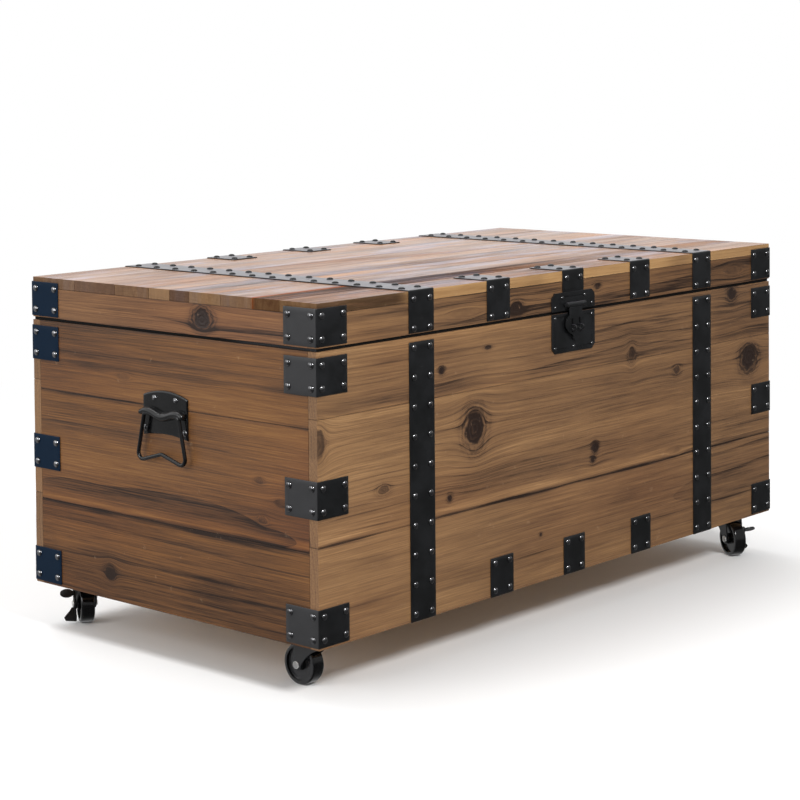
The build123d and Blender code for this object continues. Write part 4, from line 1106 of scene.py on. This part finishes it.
def floor():
    """A pale floor that melts into the white background away from the chest."""
    corners = [(x * FLOOR_HALF, y * FLOOR_HALF, 0) for x, y in ((-1, -1), (1, -1), (1, 1), (-1, 1))]
    mesh = bpy.data.meshes.new("floor")
    mesh.from_pydata(corners, [], [(0, 1, 2, 3)])
    ground = bpy.data.objects.new("floor", mesh)
    bpy.context.scene.collection.objects.link(ground)
    ground.visible_glossy = False
    material, tree, shader = new_material("pale_floor")
    mesh.materials.append(material)
    place, _ = object_place(tree)
    feed(tree, shader, Base_Color="f4f4f4", Roughness=0.9, Specular_IOR_Level=0.1)
    away = (place[X] * place[X] + place[Y] * place[Y]).root().ramp(*FLOOR_FADE)
    glow = tree.nodes.new("ShaderNodeEmission")
    glow.inputs["Strength"].default_value = 1.0
    blend = tree.nodes.new("ShaderNodeMixShader")
    tree.links.new(away.socket, blend.inputs[0])
    tree.links.new(shader.outputs[0], blend.inputs[1])
    tree.links.new(glow.outputs[0], blend.inputs[2])
    tree.links.new(blend.outputs[0], tree.nodes["Material Output"].inputs[0])


def world():
    """White to the camera; as a light it is brightest behind the chest and dim in front and below."""
    scene_world = bpy.data.worlds.new("studio")
    bpy.context.scene.world = scene_world
    scene_world.use_nodes = True
    tree = scene_world.node_tree
    coordinates = tree.nodes.new("ShaderNodeTexCoord")
    split = tree.nodes.new("ShaderNodeSeparateXYZ")
    tree.links.new(coordinates.outputs["Generated"], split.inputs[0])
    x, y, z = (Wire(tree, socket) for socket in split.outputs)
    behind = (y * 0.75 + x * 0.1).ramp(-0.25, 0.45)
    above = z.ramp(-0.10, 0.12)
    light = 0.07 + behind * 0.30 + above * (0.25 + behind * 0.66)
    rays = tree.nodes.new("ShaderNodeLightPath")
    seen = Wire(tree, rays.outputs["Is Camera Ray"])
    strength = seen + (1.0 - seen) * light
    background = tree.nodes["Background"]
    tree.links.new(strength.socket, background.inputs["Strength"])
    background.inputs["Color"].default_value = (1.0, 1.0, 1.0, 1.0)


def stage():
    scene = bpy.context.scene
    scene.view_settings.view_transform = "Standard"
    world()
    floor()
    for light in LIGHTS:
        area_light(*light)
    camera()


# ------------------------------------------------------------------ assembly
raw = woodwork()
metal = metals()
straps(metal["black_steel"])
nail_black = metal["nail_black"]
fasteners("body_nail_heads", "body_nails", "chest", NAIL, nail_black)
fasteners("lid_nail_heads", "lid_nails", "lid", NAIL, nail_black)
handles(metal["black_enamel"])
fasteners("handle_rivet_heads", "handle_rivets", "chest", RIVET, nail_black)
fasteners("latch_body_rivet_heads", "latch_body_rivets", "chest", SMALL_RIVET, nail_black)
fasteners("latch_lid_rivet_heads", "latch_lid_rivets", "lid", SMALL_RIVET, nail_black)

KEPT = {
    "black_steel": (
        "latch_lower_plate", "latch_eyes", "latch_upper_plate", "latch_hinge_pin", "latch_hasp",
        "front_left_fork", "back_left_fork", "front_right_fork", "back_right_fork",
        "back_left_brake_lever", "front_right_brake_lever",
    ),
    "dark_zinc": (
        "hinge_body_leaves", "hinge_lid_leaves", "hinge_pins", "body_screws", "lid_screws",
        "stay_wall_bracket", "stay_lid_bracket", "stay_lower_arm", "stay_upper_arm", "stay_knee_rivet",
        "caster_stems",
    ),
    "wheel_plastic": ("front_left_wheel", "back_left_wheel", "front_right_wheel", "back_right_wheel"),
    "axle_steel": ("front_left_axle", "back_left_axle", "front_right_axle", "back_right_axle"),
    "seal_rubber": ("lid_seal",),
}
for node in ("left_handle_bail", "right_handle_bail"):
    soften(node, metal["black_enamel"], 0.0)
for slot, nodes in KEPT.items():
    for node in nodes:
        soften(node, metal[slot], CAD_EDGE)
soften("corner_blocks", raw, BLOCK_EDGE)

stage()
